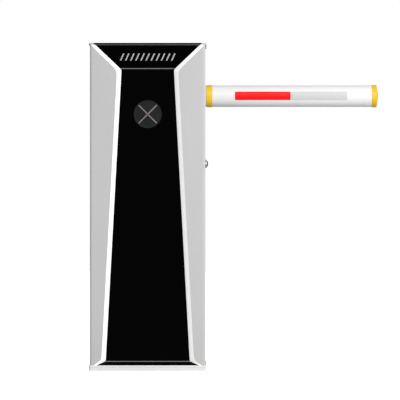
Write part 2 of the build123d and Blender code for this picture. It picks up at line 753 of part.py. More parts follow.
GEAR_Y = (40.0, 60.0)
with BuildPart() as crank_gear:
    with BuildSketch(facing_front(GEAR_Y[1])):
        with Locations((CRANK_X, CRANK_Z)):
            Polygon(*gear_outline(CRANK_TEETH, 180))
            with PolarLocations(46, 3, start_angle=15):
                Circle(13, mode=Mode.SUBTRACT)
        with Locations((PIN_X, CRANK_Z + PIN_DZ)):
            Circle(PIN_R, mode=Mode.SUBTRACT)
    extrude(amount=GEAR_Y[1] - GEAR_Y[0])
    with BuildSketch(facing_front(GEAR_Y[1] + 3)):
        with Locations((CRANK_X, CRANK_Z)):
            Circle(24)
    extrude(amount=GEAR_Y[1] + 3 - GEAR_Y[0])
    with BuildSketch(facing_front(GEAR_Y[0])):
        with Locations((CRANK_X, CRANK_Z)):
            Circle(CRANK_SHAFT_R)
    extrude(amount=GEAR_Y[0] - 4)
write(crank_gear, "crank_gear")

with BuildPart() as crank_pin:
    with BuildSketch(facing_front(GEAR_Y[0] + 1)):
        with Locations((PIN_X, CRANK_Z + PIN_DZ)):
            Circle(PIN_R)
    extrude(amount=-(78 - GEAR_Y[0] - 1))
    with BuildSketch(facing_front(GEAR_Y[1])):
        with Locations((PIN_X, CRANK_Z + PIN_DZ)):
            Circle(11)
            Circle(PIN_R, mode=Mode.SUBTRACT)
    extrude(amount=-3)
write(crank_pin, "crank_pin")

ROD_LOW = CRANK_Z + PIN_DZ
ROD_HIGH = SHAFT_Z + PIN_DZ
OPEN_PIVOT = 0.25  # clearance at the upper eye
with BuildPart() as connecting_rod:
    with BuildSketch(facing_front(ROD_Y[1])):
        with Locations((PIN_X, ROD_LOW), (PIN_X, ROD_HIGH)):
            Circle(14)
        for z in (ROD_LOW + 26, ROD_HIGH - 26):
            with Locations((PIN_X, z)):
                Rectangle(16, 40)
    extrude(amount=ROD_Y[1] - ROD_Y[0])
    with BuildSketch(level(ROD_LOW + 40)):
        with Locations((PIN_X, sum(ROD_Y) / 2)):
            Circle(5.5)
    extrude(amount=ROD_HIGH - ROD_LOW - 80)
    with BuildSketch(level((ROD_LOW + ROD_HIGH) / 2 - 45)):
        with Locations((PIN_X, sum(ROD_Y) / 2)):
            RegularPolygon(9.5, 6)
    extrude(amount=90)
    for z, clearance in ((ROD_LOW, FIT), (ROD_HIGH, OPEN_PIVOT)):
        with BuildSketch(facing_front(ROD_Y[1] + 1)):
            with Locations((PIN_X, z)):
                Circle(PIN_R + clearance)
        extrude(amount=ROD_Y[1] - ROD_Y[0] + 2, mode=Mode.SUBTRACT)
write(connecting_rod, "connecting_rod")

PINION_SHAFT_R = 8.0
WHEEL_Y = (84.0, 98.0)
WHEEL_R = 45.0
with BuildPart() as drive_pinion:
    with BuildSketch(facing_front(GEAR_Y[1])):
        with Locations((PINION_X, CRANK_Z)):
            Polygon(*gear_outline(PINION_TEETH, 180 / PINION_TEETH))
    extrude(amount=GEAR_Y[1] - GEAR_Y[0])
    with BuildSketch(facing_front(WHEEL_Y[1])):
        with Locations((PINION_X, CRANK_Z)):
            Circle(PINION_SHAFT_R)
    extrude(amount=WHEEL_Y[1] + 20)
write(drive_pinion, "drive_pinion")

with BuildPart() as release_handwheel:
    with BuildSketch(facing_front(WHEEL_Y[1] - 2)):
        with Locations((PINION_X, CRANK_Z)):
            Circle(WHEEL_R)
            Circle(WHEEL_R - 9, mode=Mode.SUBTRACT)
    extrude(amount=10)
    fillet(release_handwheel.edges().filter_by(GeomType.CIRCLE), radius=2.5)
    with BuildSketch(facing_front(WHEEL_Y[1] - 4)):
        with Locations((PINION_X, CRANK_Z)):
            Circle(16)
            with PolarLocations(WHEEL_R / 2, 3, start_angle=90):
                Rectangle(WHEEL_R - 6, 10)
    extrude(amount=6)
    with BuildSketch(facing_front(WHEEL_Y[1])):
        with Locations((PINION_X, CRANK_Z)):
            Circle(16)
            Circle(PINION_SHAFT_R)
    extrude(amount=WHEEL_Y[1] - WHEEL_Y[0])
    with BuildSketch(facing_front(WHEEL_Y[1] + 1)):
        with Locations((PINION_X, CRANK_Z)):
            Circle(PINION_SHAFT_R)
    extrude(amount=WHEEL_Y[1] - WHEEL_Y[0] + 2, mode=Mode.SUBTRACT)
write(release_handwheel, "release_handwheel")

# ---- gearmotor ----------------------------------------------------------------------------------
GEARBOX_X = (-63.0, 20.0)
GEARBOX_Z = (478.0, 562.0)
with BuildPart() as gearbox:
    with BuildSketch(facing_front(PLATE_BACK - PLATE_T)):
        with Locations((sum(GEARBOX_X) / 2, sum(GEARBOX_Z) / 2)):
            Rectangle(GEARBOX_X[1] - GEARBOX_X[0], GEARBOX_Z[1] - GEARBOX_Z[0])
    extrude(amount=64)
    fillet(gearbox.edges().filter_by(Axis.Y), radius=9)
    with BuildSketch(facing_front(PLATE_BACK - PLATE_T)):
        with Locations((PINION_X, CRANK_Z)):
            Circle(PINION_SHAFT_R + FIT)
    extrude(amount=34, mode=Mode.SUBTRACT)
write(gearbox, "gearbox")

MOTOR_X = -30.0
MOTOR_Y = -21.5
MOTOR_TOP = 700.0
with BuildPart() as drive_motor:
    with BuildSketch(level(GEARBOX_Z[1])):
        with Locations((MOTOR_X, MOTOR_Y)):
            Circle(31)
    extrude(amount=8)
    with BuildSketch(level(GEARBOX_Z[1] + 8)):
        with Locations((MOTOR_X, MOTOR_Y)):
            Circle(29)
            with PolarLocations(29.5, 20):
                Rectangle(5, 2)
    extrude(amount=96)
    with BuildSketch(level(GEARBOX_Z[1] + 104)):
        with Locations((MOTOR_X, MOTOR_Y)):
            Circle(32)
    extrude(amount=MOTOR_TOP - GEARBOX_Z[1] - 104)
    fillet(drive_motor.edges().filter_by(GeomType.CIRCLE).sort_by(Axis.Z)[-1], radius=6)
write(drive_motor, "drive_motor")

# ---- balance spring -----------------------------------------------------------------------------
SPRING_R = 11.0
WIRE_R = 2.2
HOOK_R = 8.7  # centre line of the end loops
HOOK_TOP = ROD_HIGH - (HOOK_R - WIRE_R - SPRING_PIN_R - 0.3)
EYE_Z = 421.0
EYE_R = 10.0
EYE_WIRE_R = 2.6
HOOK_LOW = EYE_Z + EYE_R - EYE_WIRE_R - 0.3 - WIRE_R + HOOK_R
COIL = (HOOK_LOW + HOOK_R + 4, HOOK_TOP - HOOK_R - 4)
TURNS = 40
SPRING_AXIS = Axis((PIN_X, SPRING_Y, 0), (0, 0, 1))
with BuildPart() as balance_spring:
    pitch = (COIL[1] - COIL[0]) / TURNS
    with BuildSketch(Plane(origin=(PIN_X, SPRING_Y, 0), x_dir=(1, 0, 0), z_dir=(0, -1, 0))):
        with Locations((SPRING_R - 1, (COIL[0] + COIL[1]) / 2)):
            Rectangle(2, COIL[1] - COIL[0])
        for turn in range(TURNS):
            with Locations((SPRING_R, COIL[0] + (turn + 0.5) * pitch)):
                Rectangle(2 * WIRE_R, pitch * 0.55)
    revolve(axis=SPRING_AXIS)
    for z, way in ((COIL[0], -1), (COIL[1], 1)):
        with BuildSketch(level(z)):
            with Locations((PIN_X, SPRING_Y)):
                Circle(SPRING_R + WIRE_R)
        extrude(amount=way * 3)
    for z in (HOOK_LOW, HOOK_TOP):
        with BuildSketch(Plane(origin=(PIN_X, SPRING_Y, z), x_dir=(1, 0, 0), z_dir=(0, 0, 1))):
            with Locations((HOOK_R, 0)):
                Circle(WIRE_R)
        revolve(axis=Axis((PIN_X, SPRING_Y, z), (0, 1, 0)))
write(balance_spring, "balance_spring")

with BuildPart() as spring_anchor:
    with BuildSketch(level(356)):
        with Locations((PIN_X, SPRING_Y)):
            Circle(5)
    extrude(amount=EYE_Z - 8 - 356)
    with BuildSketch(Plane(origin=(PIN_X, SPRING_Y, EYE_Z), x_dir=(0, 1, 0), z_dir=(0, 0, 1))):
        with Locations((EYE_R, 0)):
            Circle(EYE_WIRE_R)
    revolve(axis=Axis((PIN_X, SPRING_Y, EYE_Z), (1, 0, 0)))
    for z in (ANCHOR_TOP, ANCHOR_TOP - 3 - 8):
        with BuildSketch(level(z)):
            with Locations((PIN_X, SPRING_Y)):
                RegularPolygon(9.5, 6)
        extrude(amount=8)
write(spring_anchor, "spring_anchor")

# ---- controls -----------------------------------------------------------------------------------
TRAY_X = -60.0
TRAY_Z = (90.0, 322.0)
TRAY_Y = (-95.0, 95.0)
TRAY_DEPTH = 70.0
with BuildPart() as control_box:
    with BuildSketch(facing_right(TRAY_X)):
        with Locations((0, BASE_T)):
            Rectangle(TRAY_Y[1] - TRAY_Y[0], TRAY_Z[1] - BASE_T, align=(Align.CENTER, Align.MIN))
    extrude(amount=2)
    with BuildSketch(facing_right(TRAY_X)):
        with Locations((0, sum(TRAY_Z) / 2)):
            Rectangle(TRAY_Y[1] - TRAY_Y[0], TRAY_Z[1] - TRAY_Z[0])
            Rectangle(TRAY_Y[1] - TRAY_Y[0] - 4, TRAY_Z[1] - TRAY_Z[0] - 4, mode=Mode.SUBTRACT)
    extrude(amount=TRAY_DEPTH)
    with BuildSketch(level(BASE_T)):
        with Locations((TRAY_X, 0)):
            Rectangle(28, TRAY_Y[1] - TRAY_Y[0], align=(Align.MIN, Align.CENTER))
    extrude(amount=2)
write(control_box, "control_box")

BOARD_X = TRAY_X + 14
with BuildPart() as control_board:
    with BuildSketch(facing_right(BOARD_X)):
        with Locations((0, 214)):
            Rectangle(166, 196)
    extrude(amount=2)
    with BuildSketch(facing_right(BOARD_X - 12)):
        with Locations((0, 214)):
            with GridLocations(150, 180, 2, 2):
                Circle(4)
    extrude(amount=12)
    with BuildSketch(facing_right(BOARD_X + 2)):
        with Locations((0, 132)):
            Rectangle(140, 16)
    extrude(amount=14)
    with BuildSketch(facing_right(BOARD_X + 2)):
        with Locations((-40, 250)):
            Rectangle(46, 40)
        for y in (10, 36, 62):
            with Locations((y, 252)):
                Rectangle(18, 30)
    extrude(amount=20)
write(control_board, "control_board")

with BuildPart() as transformer:
    with BuildSketch(level(BASE_T)):
        with Locations((52, -64)):
            Rectangle(72, 66)
    extrude(amount=3)
    with BuildSketch(level(BASE_T + 3)):
        with Locations((52, -64)):
            Rectangle(66, 34)
    extrude(amount=60)
    with BuildSketch(level(BASE_T + 16)):
        with Locations((52, -64)):
            RectangleRounded(40, 62, 6)
    extrude(amount=34)
write(transformer, "transformer")

# ---- service door and lock ----------------------------------------------------------------------
DOOR_Z = (PLINTH_TOP + 3, CASE_TOP - 3)
BARREL_R = 9.5
with BuildPart() as service_door:
    with BuildSketch(level(DOOR_Z[0])):
        with Locations((WALL_X, SIDE_FRONT)):
            Rectangle(SHEET, SIDE_BACK - SIDE_FRONT, align=(Align.MIN, Align.MIN))
        with Locations((WALL_X - 5, SIDE_BACK - SHEET)):
            Rectangle(6, SHEET, align=(Align.MIN, Align.MIN))
    extrude(amount=DOOR_Z[1] - DOOR_Z[0])
    for z in (DOOR_Z[0], DOOR_Z[1] - SHEET):
        with BuildSketch(level(z)):
            with Locations((WALL_X - 5, -90)):
                Rectangle(6, SIDE_BACK + 90, align=(Align.MIN, Align.MIN))
        extrude(amount=SHEET)
    with BuildSketch(facing_right(WALL_X - 1)):
        with Locations((LOCK_Y, LOCK_Z)):
            Circle(BARREL_R + 0.3)
    extrude(amount=4, mode=Mode.SUBTRACT)
write(service_door, "service_door")

KNUCKLES = 12  # turn about, fixed leaf and door leaf
KNUCKLE_H = (DOOR_Z[1] - DOOR_Z[0]) / KNUCKLES
PIN_HOLE_R = 1.75


def hinge_leaf(far, first):
    """Half of the long hinge: a flat leaf out to y = far and every second knuckle, bored for the pin."""
    side = Align.MIN if far < HINGE_Y else Align.MAX
    with BuildPart() as leaf:
        with BuildSketch(level(DOOR_Z[0])):
            with Locations((WALL_X - SHEET, far)):
                Rectangle(SHEET, abs(far - HINGE_Y) - 5, align=(Align.MIN, side))
        extrude(amount=DOOR_Z[1] - DOOR_Z[0])
        for knuckle in range(first, KNUCKLES, 2):
            with BuildSketch(level(DOOR_Z[0] + knuckle * KNUCKLE_H + 0.2)):
                with Locations((HINGE_X, HINGE_Y)):
                    Circle(KNUCKLE_R)
                with Locations((WALL_X - SHEET, far)):
                    Rectangle(SHEET, abs(far - HINGE_Y), align=(Align.MIN, side))
                with Locations((HINGE_X, HINGE_Y)):
                    Circle(PIN_HOLE_R, mode=Mode.SUBTRACT)
            extrude(amount=KNUCKLE_H - 0.4)
    return leaf


hinge_fixed_leaf = hinge_leaf(-143, 0)
write(hinge_fixed_leaf, "hinge_fixed_leaf")

hinge_door_leaf = hinge_leaf(-95, 1)
write(hinge_door_leaf, "hinge_door_leaf")

with BuildPart() as hinge_pin:
    with BuildSketch(level(DOOR_Z[0] - 1)):
        with Locations((HINGE_X, HINGE_Y)):
            Circle(PIN_HOLE_R - FIT)
    extrude(amount=DOOR_Z[1] - DOOR_Z[0] + 2)
write(hinge_pin, "hinge_pin")

with BuildPart() as lock_bezel:
    with BuildSketch(facing_right(HALF_W)):
        with Locations((LOCK_Y, LOCK_Z)):
            Circle(13)
            Circle(BARREL_R + 0.3, mode=Mode.SUBTRACT)
    extrude(amount=5)
    chamfer(lock_bezel.edges().filter_by(GeomType.CIRCLE).group_by(Axis.X)[-1], length=1)
write(lock_bezel, "lock_bezel")

CAM_X = 165.0
with BuildPart() as lock_knob:
    with BuildSketch(facing_right(CAM_X + 3)):
        with Locations((LOCK_Y, LOCK_Z)):
            Circle(BARREL_R)
    extrude(amount=HALF_W + 4.5 - CAM_X - 3)
    with BuildSketch(facing_right(HALF_W + 4.5)):
        with Locations((LOCK_Y, LOCK_Z)):
            RectangleRounded(5, 16, 2)
    extrude(amount=4)
write(lock_knob, "lock_knob")

with BuildPart() as lock_cam:
    with BuildSketch(facing_right(CAM_X)):
        with Locations((LOCK_Y, LOCK_Z)):
            Circle(10)
        with Locations((LOCK_Y, LOCK_Z + 20)):
            Rectangle(16, 40)
    extrude(amount=3)
write(lock_cam, "lock_cam")

with BuildPart() as panel_screws:
    for x in (-160, 160):
        for z in (60, 350, 650, 930):
            with BuildSketch(facing_front(BACK + 2.4)):
                with Locations((x, z)):
                    Circle(5)
                    RegularPolygon(2, 6, mode=Mode.SUBTRACT)
            extrude(amount=2.4)
write(panel_screws, "panel_screws")
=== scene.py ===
"""Finish of a parking barrier gate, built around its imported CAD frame.

Laid out as a Blender add-on and run as a script: every group of pieces has its own operator, and
main() calls them in order. Lengths are metres in the frame's own axes: +X along the lowered boom,
+Y to the back, +Z up.
"""

import json

import bmesh
import bpy
import numpy as np
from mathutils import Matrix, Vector


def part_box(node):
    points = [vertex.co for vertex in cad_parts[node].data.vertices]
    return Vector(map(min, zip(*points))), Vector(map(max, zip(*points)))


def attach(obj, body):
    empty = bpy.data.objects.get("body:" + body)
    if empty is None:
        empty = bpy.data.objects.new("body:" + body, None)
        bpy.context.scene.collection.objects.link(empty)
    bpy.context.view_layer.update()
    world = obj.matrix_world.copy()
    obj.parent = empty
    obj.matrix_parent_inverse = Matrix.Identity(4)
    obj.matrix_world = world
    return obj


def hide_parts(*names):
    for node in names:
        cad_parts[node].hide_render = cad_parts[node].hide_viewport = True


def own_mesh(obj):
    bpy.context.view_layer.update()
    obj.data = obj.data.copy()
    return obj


bl_info = {
    "name": "Parking barrier gate",
    "version": (1, 0, 0),
    "blender": (4, 5, 0),
    "location": "3D View > Sidebar > Barrier",
    "description": "Builds the visible pieces and finishes of a parking barrier gate",
    "category": "Object",
}

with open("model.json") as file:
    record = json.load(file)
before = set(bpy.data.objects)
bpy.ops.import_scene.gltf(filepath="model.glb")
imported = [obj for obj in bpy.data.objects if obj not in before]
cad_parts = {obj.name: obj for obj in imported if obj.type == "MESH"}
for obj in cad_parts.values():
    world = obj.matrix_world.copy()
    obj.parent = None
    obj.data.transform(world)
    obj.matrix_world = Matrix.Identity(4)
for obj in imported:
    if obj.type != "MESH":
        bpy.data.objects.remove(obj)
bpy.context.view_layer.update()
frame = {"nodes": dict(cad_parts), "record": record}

MM = 0.001
TURN = 2 * np.pi
CORNER_BEND = 6 * MM
TUBE_WALL = 2.7 * MM
DOOR_LIP = 5 * MM  # how far the door's folded edges reach in past its sheet
FILM = 0.45 * MM  # how far a reflective film stands off the boom
LEG_SLOPE = 0.0544  # how far each front edge moves outwards per metre downwards
LEG_TOP = 914 * MM
SPRING_LEVER = 60 * MM
BOARD_PARTS = 20 * MM  # how far the control board's box reaches past the board's face

CAMERA_X, CAMERA_Z = 0.1596, 0.5212
CAMERA_AWAY = 10.16
LIGHTS_AIM = (0.1, 0, 0.5)
FLOOR_HALF = 14.0
AMBIENT = 0.45  # light from all round
SIDE_SHADE = 0.28  # how much brighter it is from +X, and darker from -X
FLOOR_LIFT = 1.0  # glow of the floor that only the camera's own rays see
# strength of the painted light on the bevel strips: an emission on their front faces that brightens them,
# though they are no lamp
STRIP_PAINTED_LIGHT = 0.46
DUST = (0.42, 0.38, 0.32)
SHADER = "Principled BSDF"


# ---- places read from the frame ----
def low(node):
    """Lowest corner of a CAD node's box, as an array."""
    return np.array(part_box(node)[0])


def high(node):
    """Highest corner of a CAD node's box, as an array."""
    return np.array(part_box(node)[1])


def centre(node):
    """Middle of a CAD node's box."""
    return (low(node) + high(node)) / 2


def span(node):
    """Lengths of a CAD node's box along the three axes."""
    return high(node) - low(node)


CASE_FRONT = low("right_column")[1]
CASE_SIDE = high("right_column")[0]
CASE_LOW = low("right_column")[2]
CASE_TOP = high("right_column")[2]
PANEL_Y = low("front_panel")[1]
FOLD_HIGH = (low("top_visor")[2] + high("front_panel")[2]) / 2
FOLD_LOW = (high("kick_panel")[2] + low("front_panel")[2]) / 2
SHEET = high("front_panel")[1] - PANEL_Y


# ---- shapes worked out as whole arrays ----
def unit(vectors):
    """Each vector divided by its length."""
    return vectors / np.maximum(np.linalg.norm(vectors, axis=-1, keepdims=True), 1e-12)


def soft_corners(points, radius, steps=5):
    """Closed outline with each corner replaced by a parabola that leaves it radius before and after.

    A corner P between neighbours A and B becomes (1-t)^2 a + 2t(1-t) P + t^2 b, where a and b lie on
    the two sides at the given distance from P.
    """
    corner = np.asarray(points, float)
    before = np.roll(corner, 1, axis=0) - corner
    after = np.roll(corner, -1, axis=0) - corner
    room = 0.45 * np.minimum(np.linalg.norm(before, axis=1), np.linalg.norm(after, axis=1))
    reach = np.minimum(np.broadcast_to(radius, room.shape), room)[:, None]
    start = (corner + unit(before) * reach)[:, None]
    end = (corner + unit(after) * reach)[:, None]
    t = np.linspace(0, 1, steps)[None, :, None]
    curve = (1 - t) ** 2 * start + 2 * t * (1 - t) * corner[:, None] + t**2 * end
    return curve.reshape(-1, corner.shape[1])


def inset(outline, distance):
    """Closed outline moved inwards by a small distance along the mean normal of its two sides."""
    side = unit(np.roll(outline, -1, axis=0) - outline)
    normal = np.stack([-side[:, 1], side[:, 0]], axis=1)
    mean = unit(normal + np.roll(normal, 1, axis=0))
    area = np.sum(outline[:, 0] * np.roll(outline[:, 1], -1) - np.roll(outline[:, 0], -1) * outline[:, 1])
    return outline + mean * distance * np.sign(area)


def skin(rings, ring_closed=True, path_closed=False):
    """Vertices and faces of a surface through rings of shape (rows, columns, 3).

    Neighbouring rings are joined by quads; an open path of closed rings is capped at both ends.
    """
    rows, columns = rings.shape[:2]
    index = np.arange(rows * columns).reshape(rows, columns)
    down = np.roll(index, -1, axis=0) if path_closed else index[1:]
    here = index if path_closed else index[:-1]
    if ring_closed:
        quads = np.stack([here, np.roll(here, -1, 1), np.roll(down, -1, 1), down], axis=-1)
    else:
        quads = np.stack([here[:, :-1], here[:, 1:], down[:, 1:], down[:, :-1]], axis=-1)
    faces = [quads.reshape(-1, 4)]
    if ring_closed and not path_closed:
        faces += [index[:1, ::-1], index[-1:]]
    return rings.reshape(-1, 3), faces


def turned(profile, origin, axis, segments=96):
    """Solid of revolution: the closed profile of (along, radius) points turned about an axis.

    A point at angle a is origin + along * axis + radius * (cos a * u + sin a * v).
    """
    along, radius = np.asarray(profile, float).T
    axis = np.asarray(axis, float)
    u = np.roll(axis, 1)
    v = np.cross(axis, u)
    angle = np.linspace(0, TURN, segments, endpoint=False)[:, None, None]
    spoke = np.cos(angle) * u + np.sin(angle) * v
    rings = np.asarray(origin) + along[None, :, None] * axis + radius[None, :, None] * spoke
    return skin(rings, path_closed=True)


def plate(outline, origin, u, v, thickness, soft):
    """Plate with softened edges: an outline in the plane of u and v, carried along u x v.

    Its rings are the outline inset by soft, the outline itself soft further on, and the same again
    at the far face.
    """
    u = np.asarray(u, float)
    v = np.asarray(v, float)
    rings = []
    for step, shrink in ((0, soft), (0.3 * soft, 0.3 * soft), (soft, 0), (thickness - soft, 0),
                         (thickness - 0.3 * soft, 0.3 * soft), (thickness, soft)):
        flat = inset(outline, shrink)
        rings.append(np.asarray(origin) + flat[:, :1] * u + flat[:, 1:] * v + step * np.cross(u, v))
    return skin(np.array(rings))


def tube(path, radius, across, sides=10):
    """Round tube along a path: its rings are square to the path, with one diameter square to across."""
    tangent = unit(np.gradient(path, axis=0))
    first = unit(np.cross(tangent, across))
    second = np.cross(tangent, first)
    angle = np.linspace(0, TURN, sides, endpoint=False)[None, :, None]
    ring = np.cos(angle) * first[:, None] + np.sin(angle) * second[:, None]
    return skin(path[:, None] + radius * ring)


def block(middle, half, power=0.22, steps=20):
    """Softly squared block: a superellipsoid, whose sines and cosines are raised to a small power."""
    def raised(value):
        return np.sign(value) * np.abs(value) ** power

    tilt = np.linspace(-np.pi / 2, np.pi / 2, steps)[:, None]
    around = np.linspace(0, TURN, 2 * steps, endpoint=False)[None, :]
    x = raised(np.cos(tilt)) * raised(np.cos(around))
    y = raised(np.cos(tilt)) * raised(np.sin(around))
    z = raised(np.sin(tilt)) * np.ones_like(around)
    return skin(middle + np.stack([x, y, z], axis=-1) * half)


def joined(*shapes):
    """Several (points, face arrays) shapes as one."""
    starts = np.cumsum([0] + [len(points) for points, _ in shapes])
    faces = [corners + start for (_, parts), start in zip(shapes, starts) for corners in parts]
    return np.concatenate([points for points, _ in shapes]), faces


def new_object(name, data):
    """Object that holds some data, in the scene."""
    item = bpy.data.objects.new(name, data)
    bpy.context.scene.collection.objects.link(item)
    return item


def add_piece(name, shape, body, slot, replaces=(), sharp=40):
    """Mesh object from a shape, closed, facing outwards, smooth below the sharp angle, on its body."""
    mesh = bpy.data.meshes.new(name)
    mesh.from_pydata(shape[0].tolist(), [], [face for faces in shape[1] for face in faces.tolist()])
    work = bmesh.new()
    work.from_mesh(mesh)
    bmesh.ops.remove_doubles(work, verts=work.verts, dist=2e-7)
    # a profile that touches its axis leaves bare edges along it once the doubles are gone
    bare = [edge for edge in work.edges if edge.is_wire]
    bmesh.ops.delete(work, geom=bare, context="EDGES")
    bmesh.ops.recalc_face_normals(work, faces=work.faces)
    work.to_mesh(mesh)
    work.free()
    mesh.polygons.foreach_set("use_smooth", np.ones(len(mesh.polygons), bool))
    mesh.set_sharp_from_angle(angle=np.radians(sharp))
    piece = new_object(name, mesh)
    mesh.materials.append(finish(slot))
    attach(piece, body)
    if replaces:
        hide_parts(*replaces)
    return piece


# ---- front outline ----
def blend(a, b, rounding):
    """Larger of two values, with the corner between them rounded."""
    return 0.5 * (a + b + np.sqrt((a - b) ** 2 + rounding**2))


def panel_edge(z):
    """Half width of the black panel: foot flare, leg and top flare, blended."""
    leg = 80.2 * MM + LEG_SLOPE * (LEG_TOP - z)
    top = 83.5 * MM + 1.064 * (z - FOLD_HIGH)
    foot = 129.3 * MM - 2.388 * (z - FOLD_LOW)
    return blend(blend(leg, top, 3 * MM), foot, 3 * MM)


def column_edge(z):
    """Half distance between the silver columns, blended the same way."""
    leg = 93.0 * MM + LEG_SLOPE * (LEG_TOP - z)
    top = 99.5 * MM + 1.025 * (z - FOLD_HIGH)
    foot = 141.0 * MM - 1.35 * (z - 34 * MM)
    return np.minimum(blend(blend(leg, top, 7 * MM), foot, 6 * MM), CASE_SIDE - SHEET)


def panel_depth(z):
    """Y of the panel's front face, which leans forward to the case front above and below."""
    reach = PANEL_Y - CASE_FRONT
    above = np.maximum(0, (z - FOLD_HIGH) / (CASE_TOP - FOLD_HIGH))
    below = np.maximum(0, (FOLD_LOW - z) / (FOLD_LOW - CASE_LOW))
    return PANEL_Y - reach * (above + below)


def edge_levels():
    """Heights at which the front edges are worked out: close together where they bend."""
    return np.concatenate([
        np.linspace(CASE_LOW, CASE_LOW + 45 * MM, 40),
        np.linspace(CASE_LOW + 50 * MM, FOLD_HIGH - 50 * MM, 30),
        np.linspace(FOLD_HIGH - 45 * MM, FOLD_HIGH + 25 * MM, 60),
        np.linspace(FOLD_HIGH + 28 * MM, CASE_TOP, 12),
    ])


# ---- material helpers ----
def set_inputs(node, values):
    """Give a node's inputs their values, by name with _ for a space; returns the node."""
    for title, value in values.items():
        node.inputs[title.replace("_", " ")].default_value = value
    return node


def add_node(tree, kind, **values):
    """Shader node of a kind, with the values of its inputs."""
    return set_inputs(tree.nodes.new(kind), values)


def arithmetic(tree, operation, first, second):
    """Math node on two sockets or numbers; returns its output."""
    node = tree.nodes.new("ShaderNodeMath")
    node.operation = operation
    for socket, value in zip(node.inputs, (first, second)):
        if isinstance(value, (int, float)):
            socket.default_value = value
        else:
            tree.links.new(value, socket)
    return node.outputs[0]


def new_group(name, inputs, outputs):
    """Empty shader node group with float inputs (name, default) and outputs; returns tree and ends."""
    tree = bpy.data.node_groups.new(name, "ShaderNodeTree")
    for title, default in inputs:
        socket = tree.interface.new_socket(title, in_out="INPUT", socket_type="NodeSocketFloat")
        socket.default_value = default
    for title in outputs:
        tree.interface.new_socket(title, in_out="OUTPUT", socket_type="NodeSocketFloat")
    return tree, tree.nodes.new("NodeGroupInput"), tree.nodes.new("NodeGroupOutput")


def place_on(tree, kind="Object"):
    """Output of a texture coordinate node: Object for places, Normal or Generated for directions."""
    return tree.nodes.new("ShaderNodeTexCoord").outputs[kind]


def axes_of(tree, vector):
    """X, Y and Z outputs of a vector socket, by name."""
    split = tree.nodes.new("ShaderNodeSeparateXYZ")
    tree.links.new(vector, split.inputs[0])
    return split.outputs


def camera_ray(tree):
    """1 for the camera's own rays, 0 for the others."""
    return tree.nodes.new("ShaderNodeLightPath").outputs["Is Camera Ray"]


def texture(tree, kind, place=None, **values):
    """Texture node of a kind, fed with a place or else with plain object coordinates."""
    node = add_node(tree, f"ShaderNodeTex{kind}", **values)
    tree.links.new(place_on(tree) if place is None else place, node.inputs["Vector"])
    return node


def mapped(tree, **values):
    """Object coordinates, scaled or turned by a mapping node."""
    mapping = add_node(tree, "ShaderNodeMapping", **values)
    tree.links.new(place_on(tree), mapping.inputs["Vector"])
    return mapping.outputs[0]


def stretched_noise(tree, scale_socket, stretch, detail=4.0):
    """Noise on object coordinates, stretched by a scale vector."""
    noise = texture(tree, "Noise", mapped(tree, Scale=stretch), Detail=detail)
    tree.links.new(scale_socket, noise.inputs["Scale"])
    return noise.outputs["Fac"]


def powder_group():
    """Powder coat: fine orange peel as height, and slow patches as a roughness change."""
    tree, entry, leave = new_group(
        "powder_coat", [("Peel Scale", 420), ("Patch Scale", 9)], ["Height", "Patches"])
    tree.links.new(stretched_noise(tree, entry.outputs[0], (1, 1, 1)), leave.inputs[0])
    tree.links.new(stretched_noise(tree, entry.outputs[1], (1, 1, 0.6), 6), leave.inputs[1])


def dust_group():
    """Dust that settles low down: falls off with height and is broken up by noise."""
    tree, entry, leave = new_group("ground_dust", [("Reach", 0.16), ("Amount", 0.3)], ["Mask"])
    share = arithmetic(tree, "DIVIDE", axes_of(tree, place_on(tree))["Z"], entry.outputs[0])
    fall = arithmetic(tree, "POWER", 2.718, arithmetic(tree, "MULTIPLY", share, -2.2))
    broken = texture(tree, "Noise", Scale=38.0, Detail=7.0)
    patchy = arithmetic(tree, "MULTIPLY", fall, broken.outputs["Fac"])
    tree.links.new(arithmetic(tree, "MULTIPLY", patchy, entry.outputs[1]), leave.inputs[0])


def brushed_group(name, stretch):
    """Machining or brush marks: noise drawn out along one axis, as height and shade."""
    tree, entry, leave = new_group(name, [("Scale", 30)], ["Height", "Shade"])
    tree.links.new(stretched_noise(tree, entry.outputs[0], stretch, 8), leave.inputs[0])
    tree.links.new(stretched_noise(tree, entry.outputs[0], (0.4, 0.4, 0.4), 3), leave.inputs[1])


def cast_group():
    """Cast skin: coarse grain with small pits."""
    tree, entry, leave = new_group("cast_skin", [("Scale", 300)], ["Height", "Shade"])
    grain = stretched_noise(tree, entry.outputs[0], (1, 1, 1), 6)
    pits = texture(tree, "Voronoi", Scale=520.0)
    tree.links.new(arithmetic(tree, "ADD", grain, pits.outputs["Distance"]), leave.inputs[0])
    tree.links.new(stretched_noise(tree, entry.outputs[0], (0.1, 0.1, 0.1), 4), leave.inputs[1])


def film_group():
    """Retroreflective film: a lattice of small diamond cells along X and Z, with fine ribs between."""
    tree, entry, leave = new_group("film_cells", [("Pitch", 0.0035)], ["Ribs", "Sparkle"])
    axes = axes_of(tree, place_on(tree))
    waves = []
    for operation in ("ADD", "SUBTRACT"):
        slope = arithmetic(tree, operation, axes["X"], axes["Z"])
        wave = arithmetic(tree, "PINGPONG", arithmetic(tree, "DIVIDE", slope, entry.outputs[0]), 0.5)
        waves.append(arithmetic(tree, "MULTIPLY", wave, 2.0))
    near = arithmetic(tree, "MINIMUM", waves[0], waves[1])
    tree.links.new(arithmetic(tree, "SMOOTH_MIN", near, 0.22), leave.inputs[0])
    cells = texture(tree, "Voronoi", Scale=280.0)
    tree.links.new(cells.outputs["Distance"], leave.inputs[1])


def front_group():
    """Mask of the faces that look to the front, towards -Y; it keeps the bevel strips' painted light to
    their front faces.
    """
    tree, _, leave = new_group("front_faces", [], ["Mask"])
    towards = axes_of(tree, place_on(tree, "Normal"))["Y"]
    tree.links.new(arithmetic(tree, "LESS_THAN", towards, -0.05), leave.inputs[0])


def use_group(tree, name, **values):
    """A named group placed in a material, with its input values."""
    node = tree.nodes.new("ShaderNodeGroup")
    node.node_tree = bpy.data.node_groups[name]
    return set_inputs(node, values)


